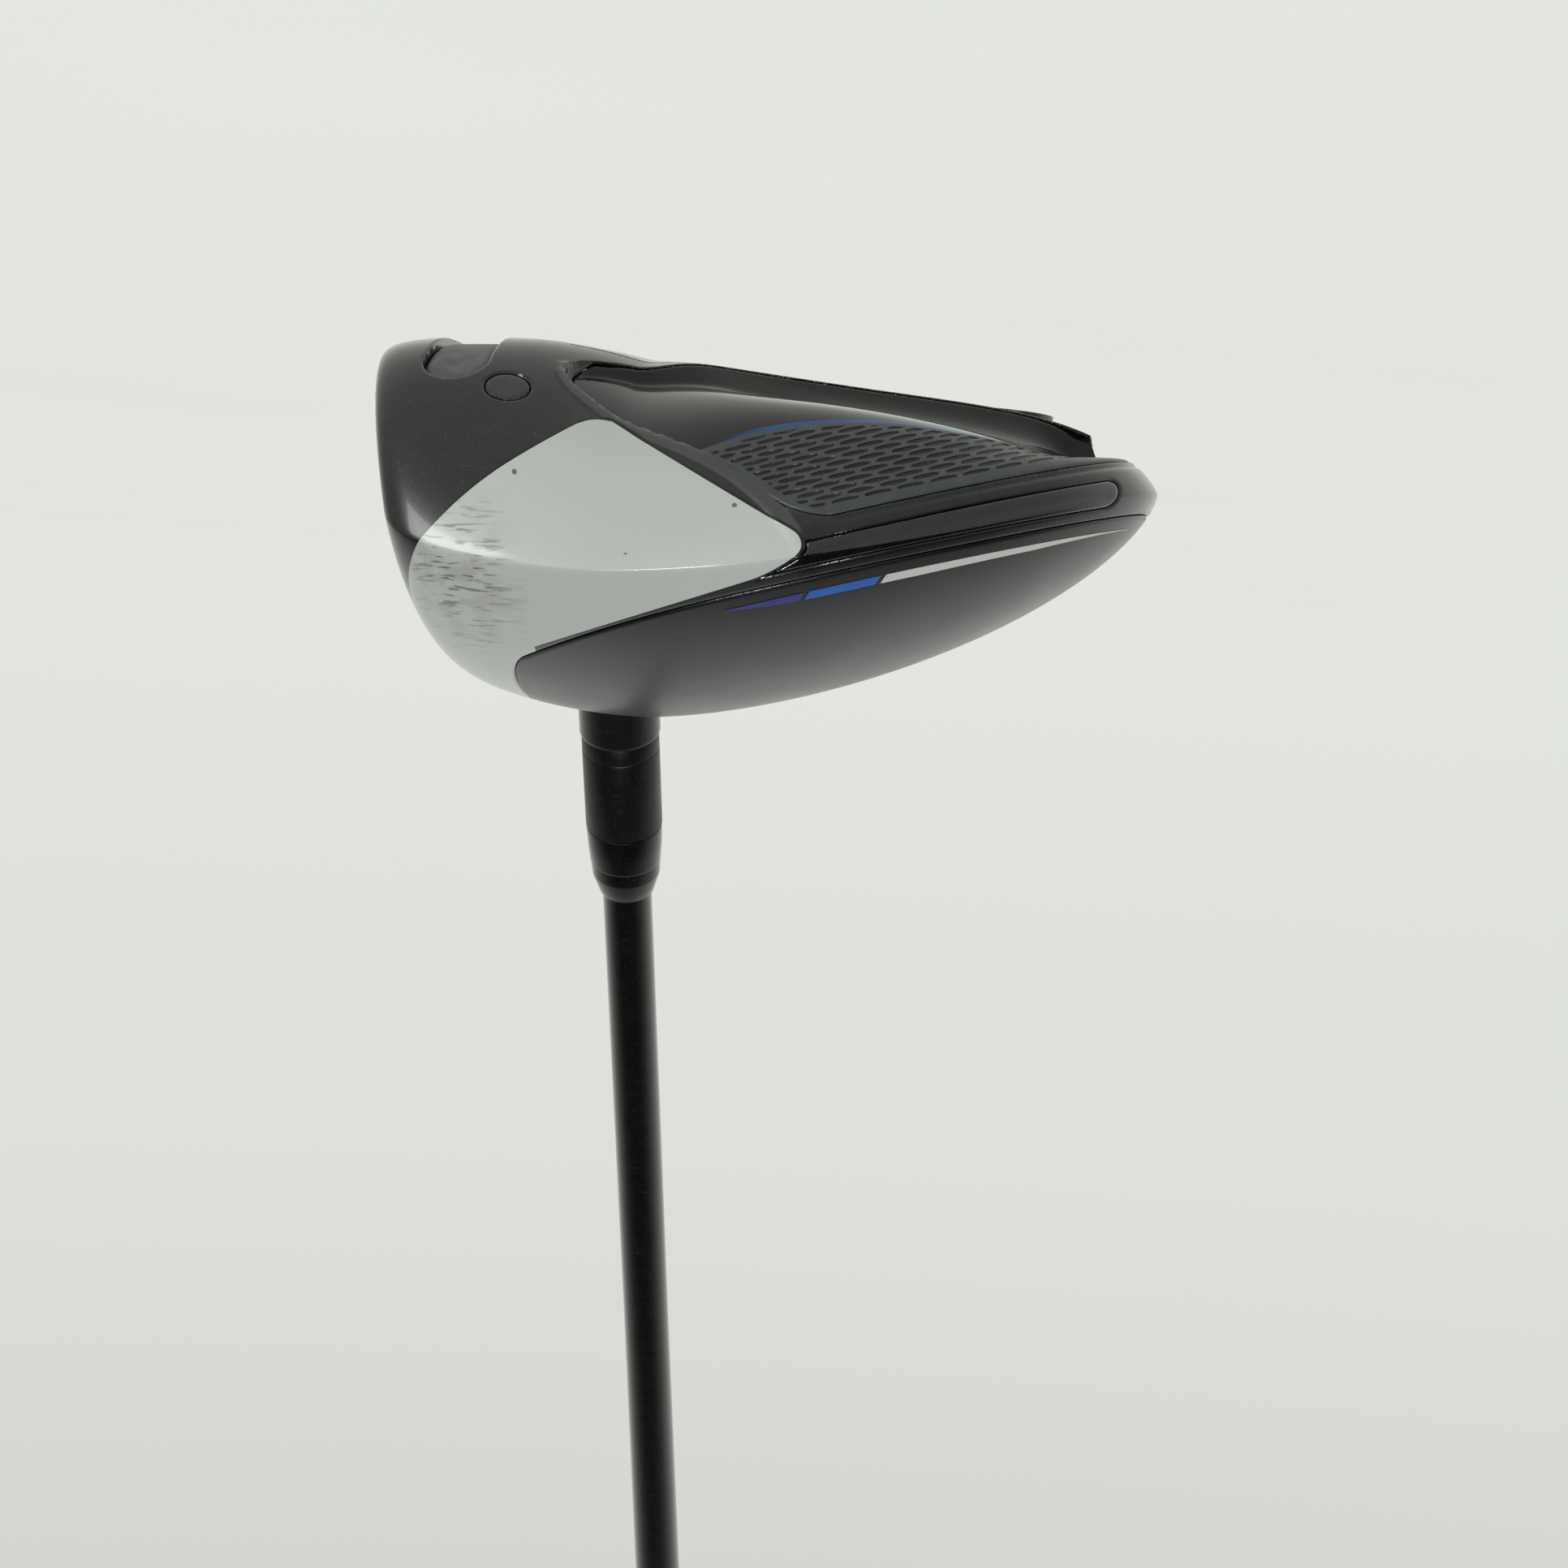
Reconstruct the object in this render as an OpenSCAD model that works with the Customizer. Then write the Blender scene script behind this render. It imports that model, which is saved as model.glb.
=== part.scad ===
// Golf driver in its address pose: hollow head, removable loft sleeve, graphite shaft and grip.
// +Z is up, -Y is the way the face looks, -X is the toe. The origin is the point of the sole that
// rests on the ground.

/* [Head] */
// Distance from the leading edge back to the resting point of the sole
lead_back = 22; // [20:1:26]
// Distance from the leading edge to the rear of the skirt
head_depth = 115; // [112:0.5:118]
// Half width of the head on the toe side
toe_reach = 58; // [56:0.5:60]
// Half width of the head on the heel side
heel_reach = 60; // [58:0.5:62]
// Height of the crown above the ground
crown_height = 55.5; // [54:0.5:58]
// Loft of the face, in degrees
loft = 12.5; // [8:0.5:14]
// Bulge and roll radius of the face
face_radius = 305; // [250:5:360]

/* [Walls] */
// Wall of the titanium body
body_wall = 1.3; // [1.2:0.1:1.6]
// Wall of the composite crown and sole panels
panel_wall = 1.0; // [0.8:0.1:1.2]
// Thickness of the face plate
face_wall = 2.8; // [2.4:0.1:3.4]
// Gap left around each bonded panel
bond_gap = 0.12; // [0.08:0.02:0.2]

/* [Shaft] */
// Lie of the shaft above the ground, in degrees
lie = 57.5; // [56:0.5:60]
// Length of the club along the shaft axis, from the ground to the end of the grip
club_length = 1156; // [1080:1:1168]
// Outer diameter of the shaft at its tip
tip_d = 8.6; // [8.5:0.1:9.2]
// Outer diameter of the shaft at its butt
butt_d = 15.2; // [14.8:0.1:15.6]
// Length of the grip
grip_length = 268; // [260:1:275]
// Largest diameter of the grip, at its cap
grip_cap_d = 28; // [26.5:0.5:29]
// Diameter of the grip at its mouth
grip_mouth_d = 17.4; // [17:0.1:18.5]

/* [Hosel] */
// Outer diameter of the sleeve's collar
collar_d = 13.8; // [13.5:0.1:14.5]
// Diameter of the hosel bore
hosel_bore_d = 11.6; // [11.4:0.1:11.8]
// Radial running clearance of the sleeve and the screws
running_fit = 0.05; // [0.03:0.01:0.08]

/* [Hidden] */

around = 56;              // facets of the head's outline
inner_around = 32;        // and of the hollow inside it
head_rings = 10;          // rings between the apex, or the resting point, and the equator
inner_rings = 7;
round_fn = 64;            // circles that other pieces fit
eps = 0.01;

// The head is described by rays that leave a centre axis: s is 0 on the axis and 1 on the outline.
centre_y = 38 - lead_back;
front_reach = 71;         // the rounded form runs on in front of the face, which cuts it off
rear_reach = head_depth - lead_back - centre_y;
outline_power = 2.12;
equator_height = 34.5;    // of the widest line, beside the centre axis
equator_fall = 0.0164;    // how that line drops towards the rear
equator_fall_power = 1.6;
equator_dip = 0.0043;     // and towards the face
sole_rise = 0.14;         // slope that the keel line takes up behind the resting point
sole_blend = 7;           // how soon it does
sole_bend = 0.0006;       // and how it then eases off
sole_lead = 0.0019;       // curve of the sole in front of the resting point
toe_sole_power = 2.25;    // how the sole curls up to the outline on each side
heel_sole_power = 3.4;
face_mid_z = 25.5;         // height of the face centre
face_mid_y = 3.1 - lead_back;
face_ease = 9;            // width over which the face runs into the sides

// Planes that part the crown, the skirt and the sole: height at the centre axis and fall per mm
seam_z = 42.4;
seam_fall = 0.285;
groove_z = 35.6;
groove_fall = 0.3;
crown_front_y = 22.5 - lead_back;
recess_depth = 2;         // of the sole panels' recess, at the toe and the heel
keel_relief = 2.8;        // and how much deeper it is beside the keel
keel_end_y = 104 - lead_back;

// Shaft axis
hosel_x = 31.5;
hosel_y = 24 - lead_back;
liner_foot = 25;          // distances along the shaft axis, from the ground
seat_bottom = 33;
seat_top = 36;
hosel_top = 71;
collar_top = 91;
ferrule_top = 105.7;
ferrule_shoulder = 102;
shaft_foot = 53;
tip_parallel = 80;
screw_head_h = 4.6;
screw_head_d = 8.4;
screw_d = 5;
screw_reach = 14;         // length of the screw's shank above the seat
access_d = 9.6;           // of the well that takes the wrench
washer_h = 0.8;
shaft_wall_tip = 1.35;
shaft_wall_butt = 0.85;
tape_wall = 0.35;
cap_wall = 5;
vent_d = 2.5;

neck_clear = 14;          // radius kept clear of the crown, round the hosel
neck_foot = 37;
neck_foot_d = 19;
neck_wall = 0.7;
liner_d = 13;

// Rear weight, in a cup that stands square to the keel line
weight_y = 91 - lead_back;
weight_d = 11.6;
weight_h = 5;
cup_d = 14.2;
cup_h = 13;
weight_screw_d = 4;
weight_screw_reach = 6;
weight_screw_head_d = 7;
weight_screw_head_h = 2.6;

// Slot behind the face, port at the toe, cap along the keel
slot_y = 13.4 - lead_back;
slot_half = 33.5;
slot_w = 9.4;
slot_sink = 1.1;
slot_depth = 2.4;
slot_rise = 15;           // height that clears the slot's whole wall
port_x = -39.2;
port_y = 0;
port_z = 8.35;
port_slope = 41;          // of the sole round the port
port_d = 6.1;
port_gap = 0.25;
port_h = 2.6;
boss_wall = 1.4;          // of the boss behind the plug
cap_thick = 0.7;
inlay_thick = 0.5;
decal_thick = 0.12;
decal_ends = [56, 67.2, 77.6, 108];  // stations of the stripes, behind the leading edge

titanium = [0.19, 0.2, 0.21];
composite = [0.07, 0.075, 0.08];
gloss_black = [0.03, 0.03, 0.035];
steel = [0.55, 0.56, 0.58];
rubber = [0.08, 0.08, 0.085];

// ---- Surfaces of the head -----------------------------------------------------------------

function mix(a, b, t) = a + (b - a) * t;

// Distance from the centre axis to the outline at a plan angle, 0 at the heel and 90 at the rear
function reach(a, inset = 0) =
    let (side = cos(a) > 0 ? heel_reach : toe_reach,
         ahead = sin(a) > 0 ? rear_reach : front_reach)
    pow(pow(abs(cos(a)) / side, outline_power) + pow(abs(sin(a)) / ahead, outline_power),
        -1 / outline_power) - inset;

function equator_z(y) =
    let (back = y - centre_y)
    equator_height - (back > 0 ? equator_fall * pow(back, equator_fall_power)
                               : equator_dip * back * back);

function keel_z(y) =
    y > 0 ? sole_rise * y * y / (y + sole_blend) - sole_bend * y * y : sole_lead * y * y;

// Slope of the keel line
function keel_slope(y) = (keel_z(y + 0.5) - keel_z(y - 0.5));

// How far a plan angle looks to the rear or to the face, from 0 to 1
function rearward(a) = pow(max(sin(a), 0), 2);
function forward(a) = pow(max(-sin(a), 0), 1.5);

function crown_power(a) = 1.64 - 0.1 * rearward(a) + 0.39 * forward(a);
function crown_shape(a) = 0.78 + 0.05 * rearward(a);
function sole_power(a) =
    let (side = cos(a) > 0 ? heel_sole_power : toe_sole_power)
    side + (8 - side) * rearward(a) + (6.4 - side) * forward(a);
function sole_shape(a) = 0.98 - 0.05 * (rearward(a) + forward(a));

// The face is a shallow dish on its side, leaning back by the loft
function face_y(x, z) =
    face_mid_y + x * x / 2 / face_radius
    + (z - face_mid_z) * tan(loft) + pow(z - face_mid_z, 2) / 2 / face_radius;

// The larger of two values, eased over a width
function eased_max(a, b, width) =
    let (h = max(width - abs(a - b), 0) / width)
    max(a, b) + h * h * width / 4;

function against_face(p, inset) =
    [p.x, eased_max(p.y, face_y(p.x, p.z) + inset, face_ease), p.z];

// A point of the crown or of the sole on one ray
function crown_point(a, s, inset) =
    let (r = reach(a, inset), x = r * s * cos(a), y = centre_y + r * s * sin(a),
         rim = equator_z(centre_y + r * sin(a)))
    against_face([x, y, rim + (crown_height - inset - rim)
        * pow(1 - pow(s, crown_power(a)), crown_shape(a))], inset);

function sole_point(a, s, inset) =
    let (r = reach(a, inset), x = r * s * cos(a), y = centre_y + r * s * sin(a),
         rim = equator_z(centre_y + r * sin(a)))
    against_face([x, y, rim + (keel_z(y) + inset - rim)
        * pow(1 - pow(s, sole_power(a)), sole_shape(a))], inset);

// From 0 to 1 over a span, easing at both ends
function eased(t) = let (u = min(max(t, 0), 1)) u * u * (3 - 2 * u);

// The recess is deepest beside the keel, behind its front
function recess_sink(x, y) =
    recess_depth + keel_relief * eased((y - 10) / 30) * (1 - eased((abs(x) - 10) / 30));

function seam_height(y) = seam_z - seam_fall * (y - centre_y);
function groove_height(y) = groove_z - groove_fall * (y - centre_y);

// Rings crowd together near the outline, where the surface turns fastest
function ring_s(i, rings) = sin(90 * i / rings);

// ---- Solids of the head -------------------------------------------------------------------

// A closed solid from a list of rings of equal length, with an apex point at each end
module ringed_solid(first, rings, last) {
    n = len(rings[0]);
    m = len(rings);
    points = concat([first], [for (ring = rings) each ring], [last]);
    lid = [for (j = [0:n - 1]) [0, 1 + (j + 1) % n, 1 + j]];
    sides = [
        for (i = [0:m - 2], j = [0:n - 1])
            let (a = 1 + i * n + j, b = 1 + i * n + (j + 1) % n)
            each [[a, b, a + n], [b, b + n, a + n]]
    ];
    base = [
        for (j = [0:n - 1])
            [1 + m * n, 1 + (m - 1) * n + j, 1 + (m - 1) * n + (j + 1) % n]
    ];
    polyhedron(points, concat(lid, sides, base));
}

// The rounded head without its keel recesses, drawn in by an inset
module smooth_head(inset = 0, n = around) {
    angles = [for (j = [0:n - 1]) 360 * j / n];
    rings = n < around ? inner_rings : head_rings;
    crown = [for (i = [1:rings]) [for (a = angles) crown_point(a, ring_s(i, rings), inset)]];
    sole = [
        for (i = [rings - 1:-1:1])
            [for (a = angles) sole_point(a, ring_s(i, rings), inset)]
    ];
    ringed_solid(crown_point(0, 0, inset), concat(crown, sole), sole_point(0, 0, inset));
}

// Everything under the recessed floor of the sole panels
module under_floor(rise = 0, n = around) {
    angles = [for (j = [0:n - 1]) 360 * j / n];
    rings = n < around ? inner_rings : head_rings;
    floors = [
        for (i = [1:rings - 1])
            [
                for (a = angles)
                    let (p = sole_point(a, ring_s(i, rings), 0))
                    [p.x, p.y, p.z + recess_sink(p.x, p.y) + rise]
            ]
    ];
    brim = [
        for (a = angles)
            let (r = reach(a) * 1.1)
            [r * cos(a), centre_y + r * sin(a), equator_height + 12]
    ];
    outer = [for (p = brim) [p.x, p.y, -20]];
    middle = sole_point(0, 0, 0);
    ringed_solid([0, centre_y, middle.z + recess_sink(0, centre_y) + rise],
        concat(floors, [brim, outer]), [0, centre_y, -20]);
}

// Plan of the recess on one side; side is -1 at the toe and 1 at the heel
module recess_plan(side, grow = 0) {
    offset(delta = grow)
        offset(r = 4, $fn = 24)
            offset(delta = -4)
                polygon([
                    [side * 29, 6], [side * 34.5, 9], [side * 54.5, 47], [side * 75, 52],
                    [side * 75, 103], [0, 103], [0, keel_end_y], [side * 8, keel_end_y],
                    [side * 10, 50], [side * 13.5, 28], [side * 21, 14]
                ]);
}

module recesses(grow = 0, rise = 0, n = around) {
    difference() {
        intersection() {
            under_floor(rise, n);
            union() {
                for (side = [-1, 1])
                    translate([0, 0, -30])
                        linear_extrude(80) recess_plan(side, grow);
                translate([-12, keel_end_y - grow, -30]) cube([24, 40, 80]);
            }
        }
        above_plane(groove_z + grow, groove_fall);
    }
}

// The head as a solid, and its cavity
module head_solid(inset = 0, n = around) {
    difference() {
        smooth_head(inset, n);
        recesses(inset, inset, n);
    }
}

// A slab above a plane that falls towards the rear
module above_plane(z, fall, lift = 0) {
    translate([0, centre_y, z + lift])
        rotate([-atan(fall), 0, 0])
            translate([-100, -150, 0]) cube([200, 300, 120]);
}

module crown_plan(grow = 0) {
    offset(r = 9 + grow, $fn = 32)
        offset(delta = -9)
            polygon([
                [-40, crown_front_y], [-72, crown_front_y + 24], [-72, 110], [74, 110],
                [74, crown_front_y + 24], [41, crown_front_y + 4]
            ]);
}

module crown_region(grow = 0) {
    difference() {
        intersection() {
            above_plane(seam_z, seam_fall, -grow);
            linear_extrude(120) crown_plan(grow);
        }
        on_shaft(0) cylinder(r = neck_clear - grow, h = 120, $fn = 48);
    }
}

// One of the recessed sole panels
module panel_region(side, grow = 0) {
    difference() {
        translate([0, 0, -30]) linear_extrude(90) recess_plan(side, grow - 1.2);
        above_plane(groove_z - 1.4, groove_fall, grow);
        translate([side > 0 ? -150 : -0.5 + grow, -100, -40])
            cube([150 + 0.5 - grow, 300, 120]);
    }
}

// The face plate's outline, as deep as the plate
module face_region(grow = 0) {
    difference() {
        translate([0, -lead_back, 0])
            rotate([90, 0, 0])
                linear_extrude(50, center = true)
                    offset(r = 12 + grow, $fn = 48)
                        offset(delta = -12)
                            polygon([
                                [-41.7, 18.2], [-33.8, 7.1], [33.7, 6.1], [40.8, 16.2],
                                [37.9, 39.8], [18.1, 46.8], [-19.8, 46.9], [-38.8, 37.9]
                            ]);
        translate([0, face_wall + grow, 0]) face_block();
    }
}

// A block that starts at the face's own surface and runs back
module face_block() {
    step = 8;
    across = [-72:step:72];
    up = [-8:step:72];
    nx = 144 / step + 1;
    nz = 80 / step + 1;
    total = nx * nz;
    points = [
        for (back = [false, true], z = up, x = across)
            [x, back ? 120 : face_y(x, z), z]
    ];
    cells = [for (k = [0:nz - 2], i = [0:nx - 2]) k * nx + i];
    top = total - nx;
    faces = concat(
        [for (c = cells) each [[c, c + nx, c + 1], [c + 1, c + nx, c + nx + 1]]],
        [
            for (c = cells)
                let (t = total + c)
                each [[t, t + 1, t + nx], [t + 1, t + nx + 1, t + nx]]
        ],
        [for (i = [0:nx - 2]) [i, i + 1, total + i + 1, total + i]],
        [for (i = [0:nx - 2]) [top + i, top + i + total, top + i + total + 1, top + i + 1]],
        [for (k = [0:nz - 2]) [k * nx, total + k * nx, total + k * nx + nx, k * nx + nx]],
        [
            for (k = [0:nz - 2])
                let (t = k * nx + nx - 1)
                [t, t + nx, total + t + nx, total + t]
        ]
    );
    polyhedron(points, faces);
}

// The part of the head's wall that lies between two depths under its surface
module wall(outer, inner) {
    difference() {
        head_solid(outer);
        head_solid(inner);
    }
}

module slot_plan(grow = 0) {
    hull()
        for (side = [-1, 1])
            translate([side * slot_half, slot_y]) circle(slot_w / 2 + grow, $fn = 24);
}

module keel_cap_plan(grow = 0) {
    offset(r = 2 + grow, $fn = 16)
        offset(delta = -2)
            polygon([
                [-20, 5], [20, 5], [15.5, 14], [9.5, 28], [6.5, 50], [5.5, 57], [-5.5, 57],
                [-6.5, 50], [-9.5, 28], [-15.5, 14]
            ]);
}

module skirt_band(side, grow = 0) {
    intersection() {
        above_plane(groove_z + 2.2, groove_fall, -grow);
        difference() {
            translate([side > 0 ? 12 - grow : -100, 72 - lead_back - grow, 0])
                cube([88 + grow, 37 + 2 * grow, 60]);
            above_plane(seam_z - 2.6, seam_fall, grow);
        }
    }
}

// Puts its children on the shaft axis, +Z towards the grip
module on_shaft(from = 0) {
    translate(hosel_point(from)) rotate([0, 90 - lie, 0]) children();
}

function hosel_point(along) =
    [hosel_x + along * cos(lie), hosel_y, along * sin(lie)];

module in_port() {
    translate([port_x, port_y, port_z]) rotate([0, port_slope, 0]) children();
}

module in_weight_cup() {
    translate([0, weight_y, keel_z(weight_y)]) rotate([atan(keel_slope(weight_y)), 0, 0]) children();
}

// A whole solid handed over as one mesh
module meshed() {
    resize([0, 0, 0]) children();
}

// ---- Head pieces --------------------------------------------------------------------------

ledge_depth = panel_wall + bond_gap;

margin_depth = ledge_depth + 1.1;
slot_wall_depth = slot_sink + slot_depth + 0.8;

// An opening that takes a bonded panel: its seat, and the window inside the seat's ledge
module panel_opening(seat) {
    intersection() {
        wall(-1, seat);
        children(0);
    }
    children(1);
}

// The hollow of the head: the wall is thicker where a panel is bonded and round the slot
module cavity() {
    difference() {
        union() {
            difference() {
                head_solid(body_wall, inner_around);
                difference() {
                    crown_region(1.5);
                    crown_region(-6);
                }
                for (side = [-1, 1]) {
                    difference() {
                        panel_region(side, 1.5);
                        panel_region(side, -5);
                    }
                    skirt_band(side, 1);
                }
                upright(slot_rise) slot_plan(1.2);
                upright() keel_cap_plan(1.5);
            }
            difference() {
                head_solid(margin_depth, inner_around);
                upright(slot_rise) slot_plan(1.2);
            }
            head_solid(slot_wall_depth, inner_around);
        }
        on_shaft(0) cylinder(d = access_d + 2.4, h = liner_foot, $fn = 32);
        in_port() cylinder(d = port_d + 3, h = port_h + boss_wall, $fn = 32);
    }
}

module neck() {
    hull() {
        on_shaft(neck_foot) cylinder(d = neck_foot_d, h = eps, $fn = 32);
        on_shaft(hosel_top - 6)
            cylinder(d = liner_d + 2 * neck_wall, h = 6, $fn = 32);
    }
}

// From below the sole up to a height above the ground
module upright(to = 25) {
    translate([0, 0, -20]) linear_extrude(20 + to) children();
}

module head_body() {
    color(titanium)
        meshed()
            difference() {
                union() {
                    head_solid(0);
                    neck();
                }
                cavity();
                panel_opening(ledge_depth) {
                    crown_region(bond_gap);
                    crown_region(-5);
                }
                for (side = [-1, 1]) {
                    panel_opening(ledge_depth) {
                        panel_region(side, bond_gap);
                        panel_region(side, -4);
                    }
                    intersection() {
                        wall(-1, inlay_thick + bond_gap);
                        skirt_band(side, bond_gap);
                    }
                }
                face_region(bond_gap);
                upright(slot_rise) slot_plan();
                intersection() {
                    wall(-1, cap_thick + bond_gap);
                    upright() keel_cap_plan(bond_gap);
                }
                in_weight_cup()
                    translate([0, 0, -5]) cylinder(d = cup_d + 0.2, h = 30, $fn = 48);
                on_shaft(-10) cylinder(d = access_d, h = 10 + liner_foot + eps, $fn = 48);
                on_shaft(liner_foot) cylinder(d = liner_d + 0.1, h = 80, $fn = 48);
                in_port()
                    translate([0, 0, -5])
                        cylinder(d = port_d + 2 * port_gap, h = 5 + port_h, $fn = 48);
            }
}

module face_plate() {
    color(titanium)
        meshed()
            intersection() {
                smooth_head(0);
                face_region();
            }
}

module crown_shell() {
    color(composite)
        meshed()
            intersection() {
                wall(0, panel_wall);
                crown_region();
            }
}

module sole_panel(side) {
    color(composite)
        meshed()
            intersection() {
                wall(0, panel_wall);
                panel_region(side);
            }
}

module toe_sole_panel() {
    sole_panel(-1);
}

module heel_sole_panel() {
    sole_panel(1);
}

module skirt_inlay(side) {
    color(gloss_black)
        meshed()
            intersection() {
                wall(0, inlay_thick);
                skirt_band(side);
            }
}

module skirt_inlay_toe() {
    skirt_inlay(-1);
}

module skirt_inlay_heel() {
    skirt_inlay(1);
}

// Three printed stripes that follow the crown's edge on the toe side
module crown_edge_decal() {
    tints = [[0.2, 0.2, 0.6], [0.05, 0.4, 0.75], [0.85, 0.86, 0.86]];
    for (i = [0:2])
        color(tints[i])
            meshed()
                intersection() {
                    difference() {
                        smooth_head(-decal_thick);
                        smooth_head(0);
                    }
                    translate([-70, decal_ends[i] - lead_back, 0])
                        cube([62, decal_ends[i + 1] - decal_ends[i] - 0.6, 60]);
                    difference() {
                        above_plane(seam_z + 1.9, seam_fall);
                        above_plane(seam_z + 3.6, seam_fall);
                    }
                }
}

module keel_cap() {
    color(titanium)
        meshed()
            intersection() {
                wall(0, cap_thick);
                upright() keel_cap_plan();
            }
}

module slot_insert() {
    color(rubber)
        meshed()
            intersection() {
                wall(slot_sink, slot_sink + slot_depth);
                upright(slot_rise) slot_plan(-0.05);
            }
}

module port_plug() {
    color(gloss_black)
        in_port() cylinder(d = port_d, h = port_h - 0.05, $fn = round_fn);
}

module port_resin() {
    color([0.75, 0.7, 0.5])
        in_port()
            translate([0, 0, port_h + boss_wall + 0.1])
                intersection() {
                    sphere(d = port_d, $fn = 24);
                    cylinder(d = port_d + 3, h = 5, $fn = 24);
                }
}

module weight_port() {
    color(steel)
        in_weight_cup()
            difference() {
                translate([0, 0, 0.4]) cylinder(d = cup_d, h = cup_h, $fn = round_fn);
                cylinder(d = weight_d + 0.3, h = weight_h + 0.5, $fn = round_fn);
                cylinder(d = weight_screw_d + 2 * running_fit, h = cup_h - 1, $fn = round_fn);
            }
}

module rear_weight() {
    color(steel)
        in_weight_cup()
            translate([0, 0, 0.5])
                difference() {
                    cylinder(d = weight_d, h = weight_h, $fn = round_fn);
                    translate([0, 0, -eps])
                        cylinder(d = weight_screw_head_d + 0.3, h = weight_screw_head_h,
                            $fn = round_fn);
                    translate([0, 0, -eps])
                        cylinder(d = weight_screw_d + 0.2, h = weight_h + 1, $fn = round_fn);
                }
}

// Six-lobed socket for a wrench
module socket(across, depth) {
    translate([0, 0, -eps])
        union() {
            cylinder(d = across * 0.72, h = depth, $fn = 24);
            for (turn = [0:60:300])
                rotate([0, 0, turn])
                    translate([across * 0.34, 0, 0]) cylinder(d = across * 0.3, h = depth, $fn = 16);
        }
}

module rear_weight_screw() {
    color(steel)
        in_weight_cup()
            translate([0, 0, 0.7])
                difference() {
                    union() {
                        cylinder(d = weight_screw_head_d, h = weight_screw_head_h - 0.25,
                            $fn = round_fn);
                        cylinder(d = weight_screw_d, h = weight_h + weight_screw_reach,
                            $fn = round_fn);
                    }
                    socket(4, 1.8);
                }
}

// ---- Hosel --------------------------------------------------------------------------------

module hosel_liner() {
    color(titanium)
        on_shaft(liner_foot)
            difference() {
                cylinder(d = liner_d, h = hosel_top - liner_foot, $fn = round_fn);
                translate([0, 0, -eps])
                    cylinder(d = access_d, h = seat_bottom - liner_foot + 2 * eps, $fn = round_fn);
                cylinder(d = screw_d + 2 * running_fit, h = 40, $fn = round_fn);
                translate([0, 0, seat_top - liner_foot])
                    cylinder(d = hosel_bore_d, h = hosel_top, $fn = round_fn);
            }
}

module hosel_screw() {
    color(steel)
        on_shaft(seat_bottom - washer_h - screw_head_h)
            difference() {
                union() {
                    cylinder(d = screw_head_d, h = screw_head_h, $fn = round_fn);
                    cylinder(d = screw_d,
                        h = screw_head_h + washer_h + seat_top - seat_bottom + screw_reach,
                        $fn = round_fn);
                }
                socket(4.6, 2.8);
            }
}

module screw_washer() {
    color("white")
        on_shaft(seat_bottom - washer_h)
            difference() {
                cylinder(d = screw_head_d + 0.6, h = washer_h, $fn = round_fn);
                translate([0, 0, -eps])
                    cylinder(d = screw_d + 2 * running_fit, h = 2, $fn = round_fn);
            }
}

// ---- Shaft assembly -----------------------------------------------------------------------

function shaft_d(along) =
    let (taper_from = shaft_foot + tip_parallel)
    along < taper_from ? tip_d
                       : mix(tip_d, butt_d, (along - taper_from) / (club_length - taper_from));

function shaft_wall(along) =
    mix(shaft_wall_tip, shaft_wall_butt, (along - shaft_foot) / (club_length - shaft_foot));

function grip_d(along) =
    mix(grip_mouth_d, grip_cap_d, pow((along - grip_foot) / grip_length, 1.25));

grip_foot = club_length - grip_length;
butt_end = club_length - cap_wall;
taper_from = shaft_foot + tip_parallel;

// A body of revolution on the shaft axis from a list of [radius, distance] pairs
module turned(profile) {
    on_shaft(0) rotate_extrude($fn = round_fn) polygon(profile);
}

module loft_sleeve() {
    bore = tip_d + 2 * running_fit;
    body_r = hosel_bore_d / 2 - running_fit;
    foot = seat_top + 0.3;
    color(gloss_black)
        difference() {
            union() {
                turned([
                    [0, foot], [body_r - 0.6, foot], [body_r, foot + 0.6],
                    [body_r, hosel_top + 1], [0, hosel_top + 1]
                ]);
                turned([
                    [0, hosel_top + 2 * eps], [collar_d / 2, hosel_top + 2 * eps],
                    [collar_d / 2, collar_top], [0, collar_top]
                ]);
            }
            on_shaft(shaft_foot) cylinder(d = bore, h = 60, $fn = round_fn);
            on_shaft(foot - 1)
                cylinder(d = screw_d + 2 * running_fit, h = screw_reach + 1.5, $fn = round_fn);
        }
}

module ferrule() {
    bore = tip_d / 2 + running_fit;
    color(gloss_black)
        turned([
            [bore, collar_top], [collar_d / 2, collar_top], [collar_d / 2 - 0.15, collar_top + 4],
            [collar_d / 2 - 0.65, ferrule_shoulder - 1], [collar_d / 2 - 0.9, ferrule_shoulder],
            [bore + 0.35, ferrule_top], [bore, ferrule_top]
        ]);
}

module shaft() {
    color(gloss_black)
        turned([
            [shaft_d(shaft_foot) / 2 - shaft_wall_tip, shaft_foot + eps],
            [tip_d / 2, shaft_foot + eps], [tip_d / 2, taper_from], [butt_d / 2, butt_end],
            [butt_d / 2 - shaft_wall_butt, butt_end],
            [tip_d / 2 - shaft_wall(taper_from), taper_from]
        ]);
}

module tip_plug() {
    color("goldenrod")
        on_shaft(shaft_foot + 0.5)
            cylinder(r = tip_d / 2 - shaft_wall_tip - 0.02, h = 14, $fn = round_fn);
}

module grip_tape() {
    from = grip_foot + 4;
    to = butt_end - 1;
    color("ivory")
        turned([
            [shaft_d(from) / 2 + 0.03, from], [shaft_d(from) / 2 + tape_wall, from],
            [shaft_d(to) / 2 + tape_wall, to], [shaft_d(to) / 2 + 0.03, to]
        ]);
}

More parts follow.
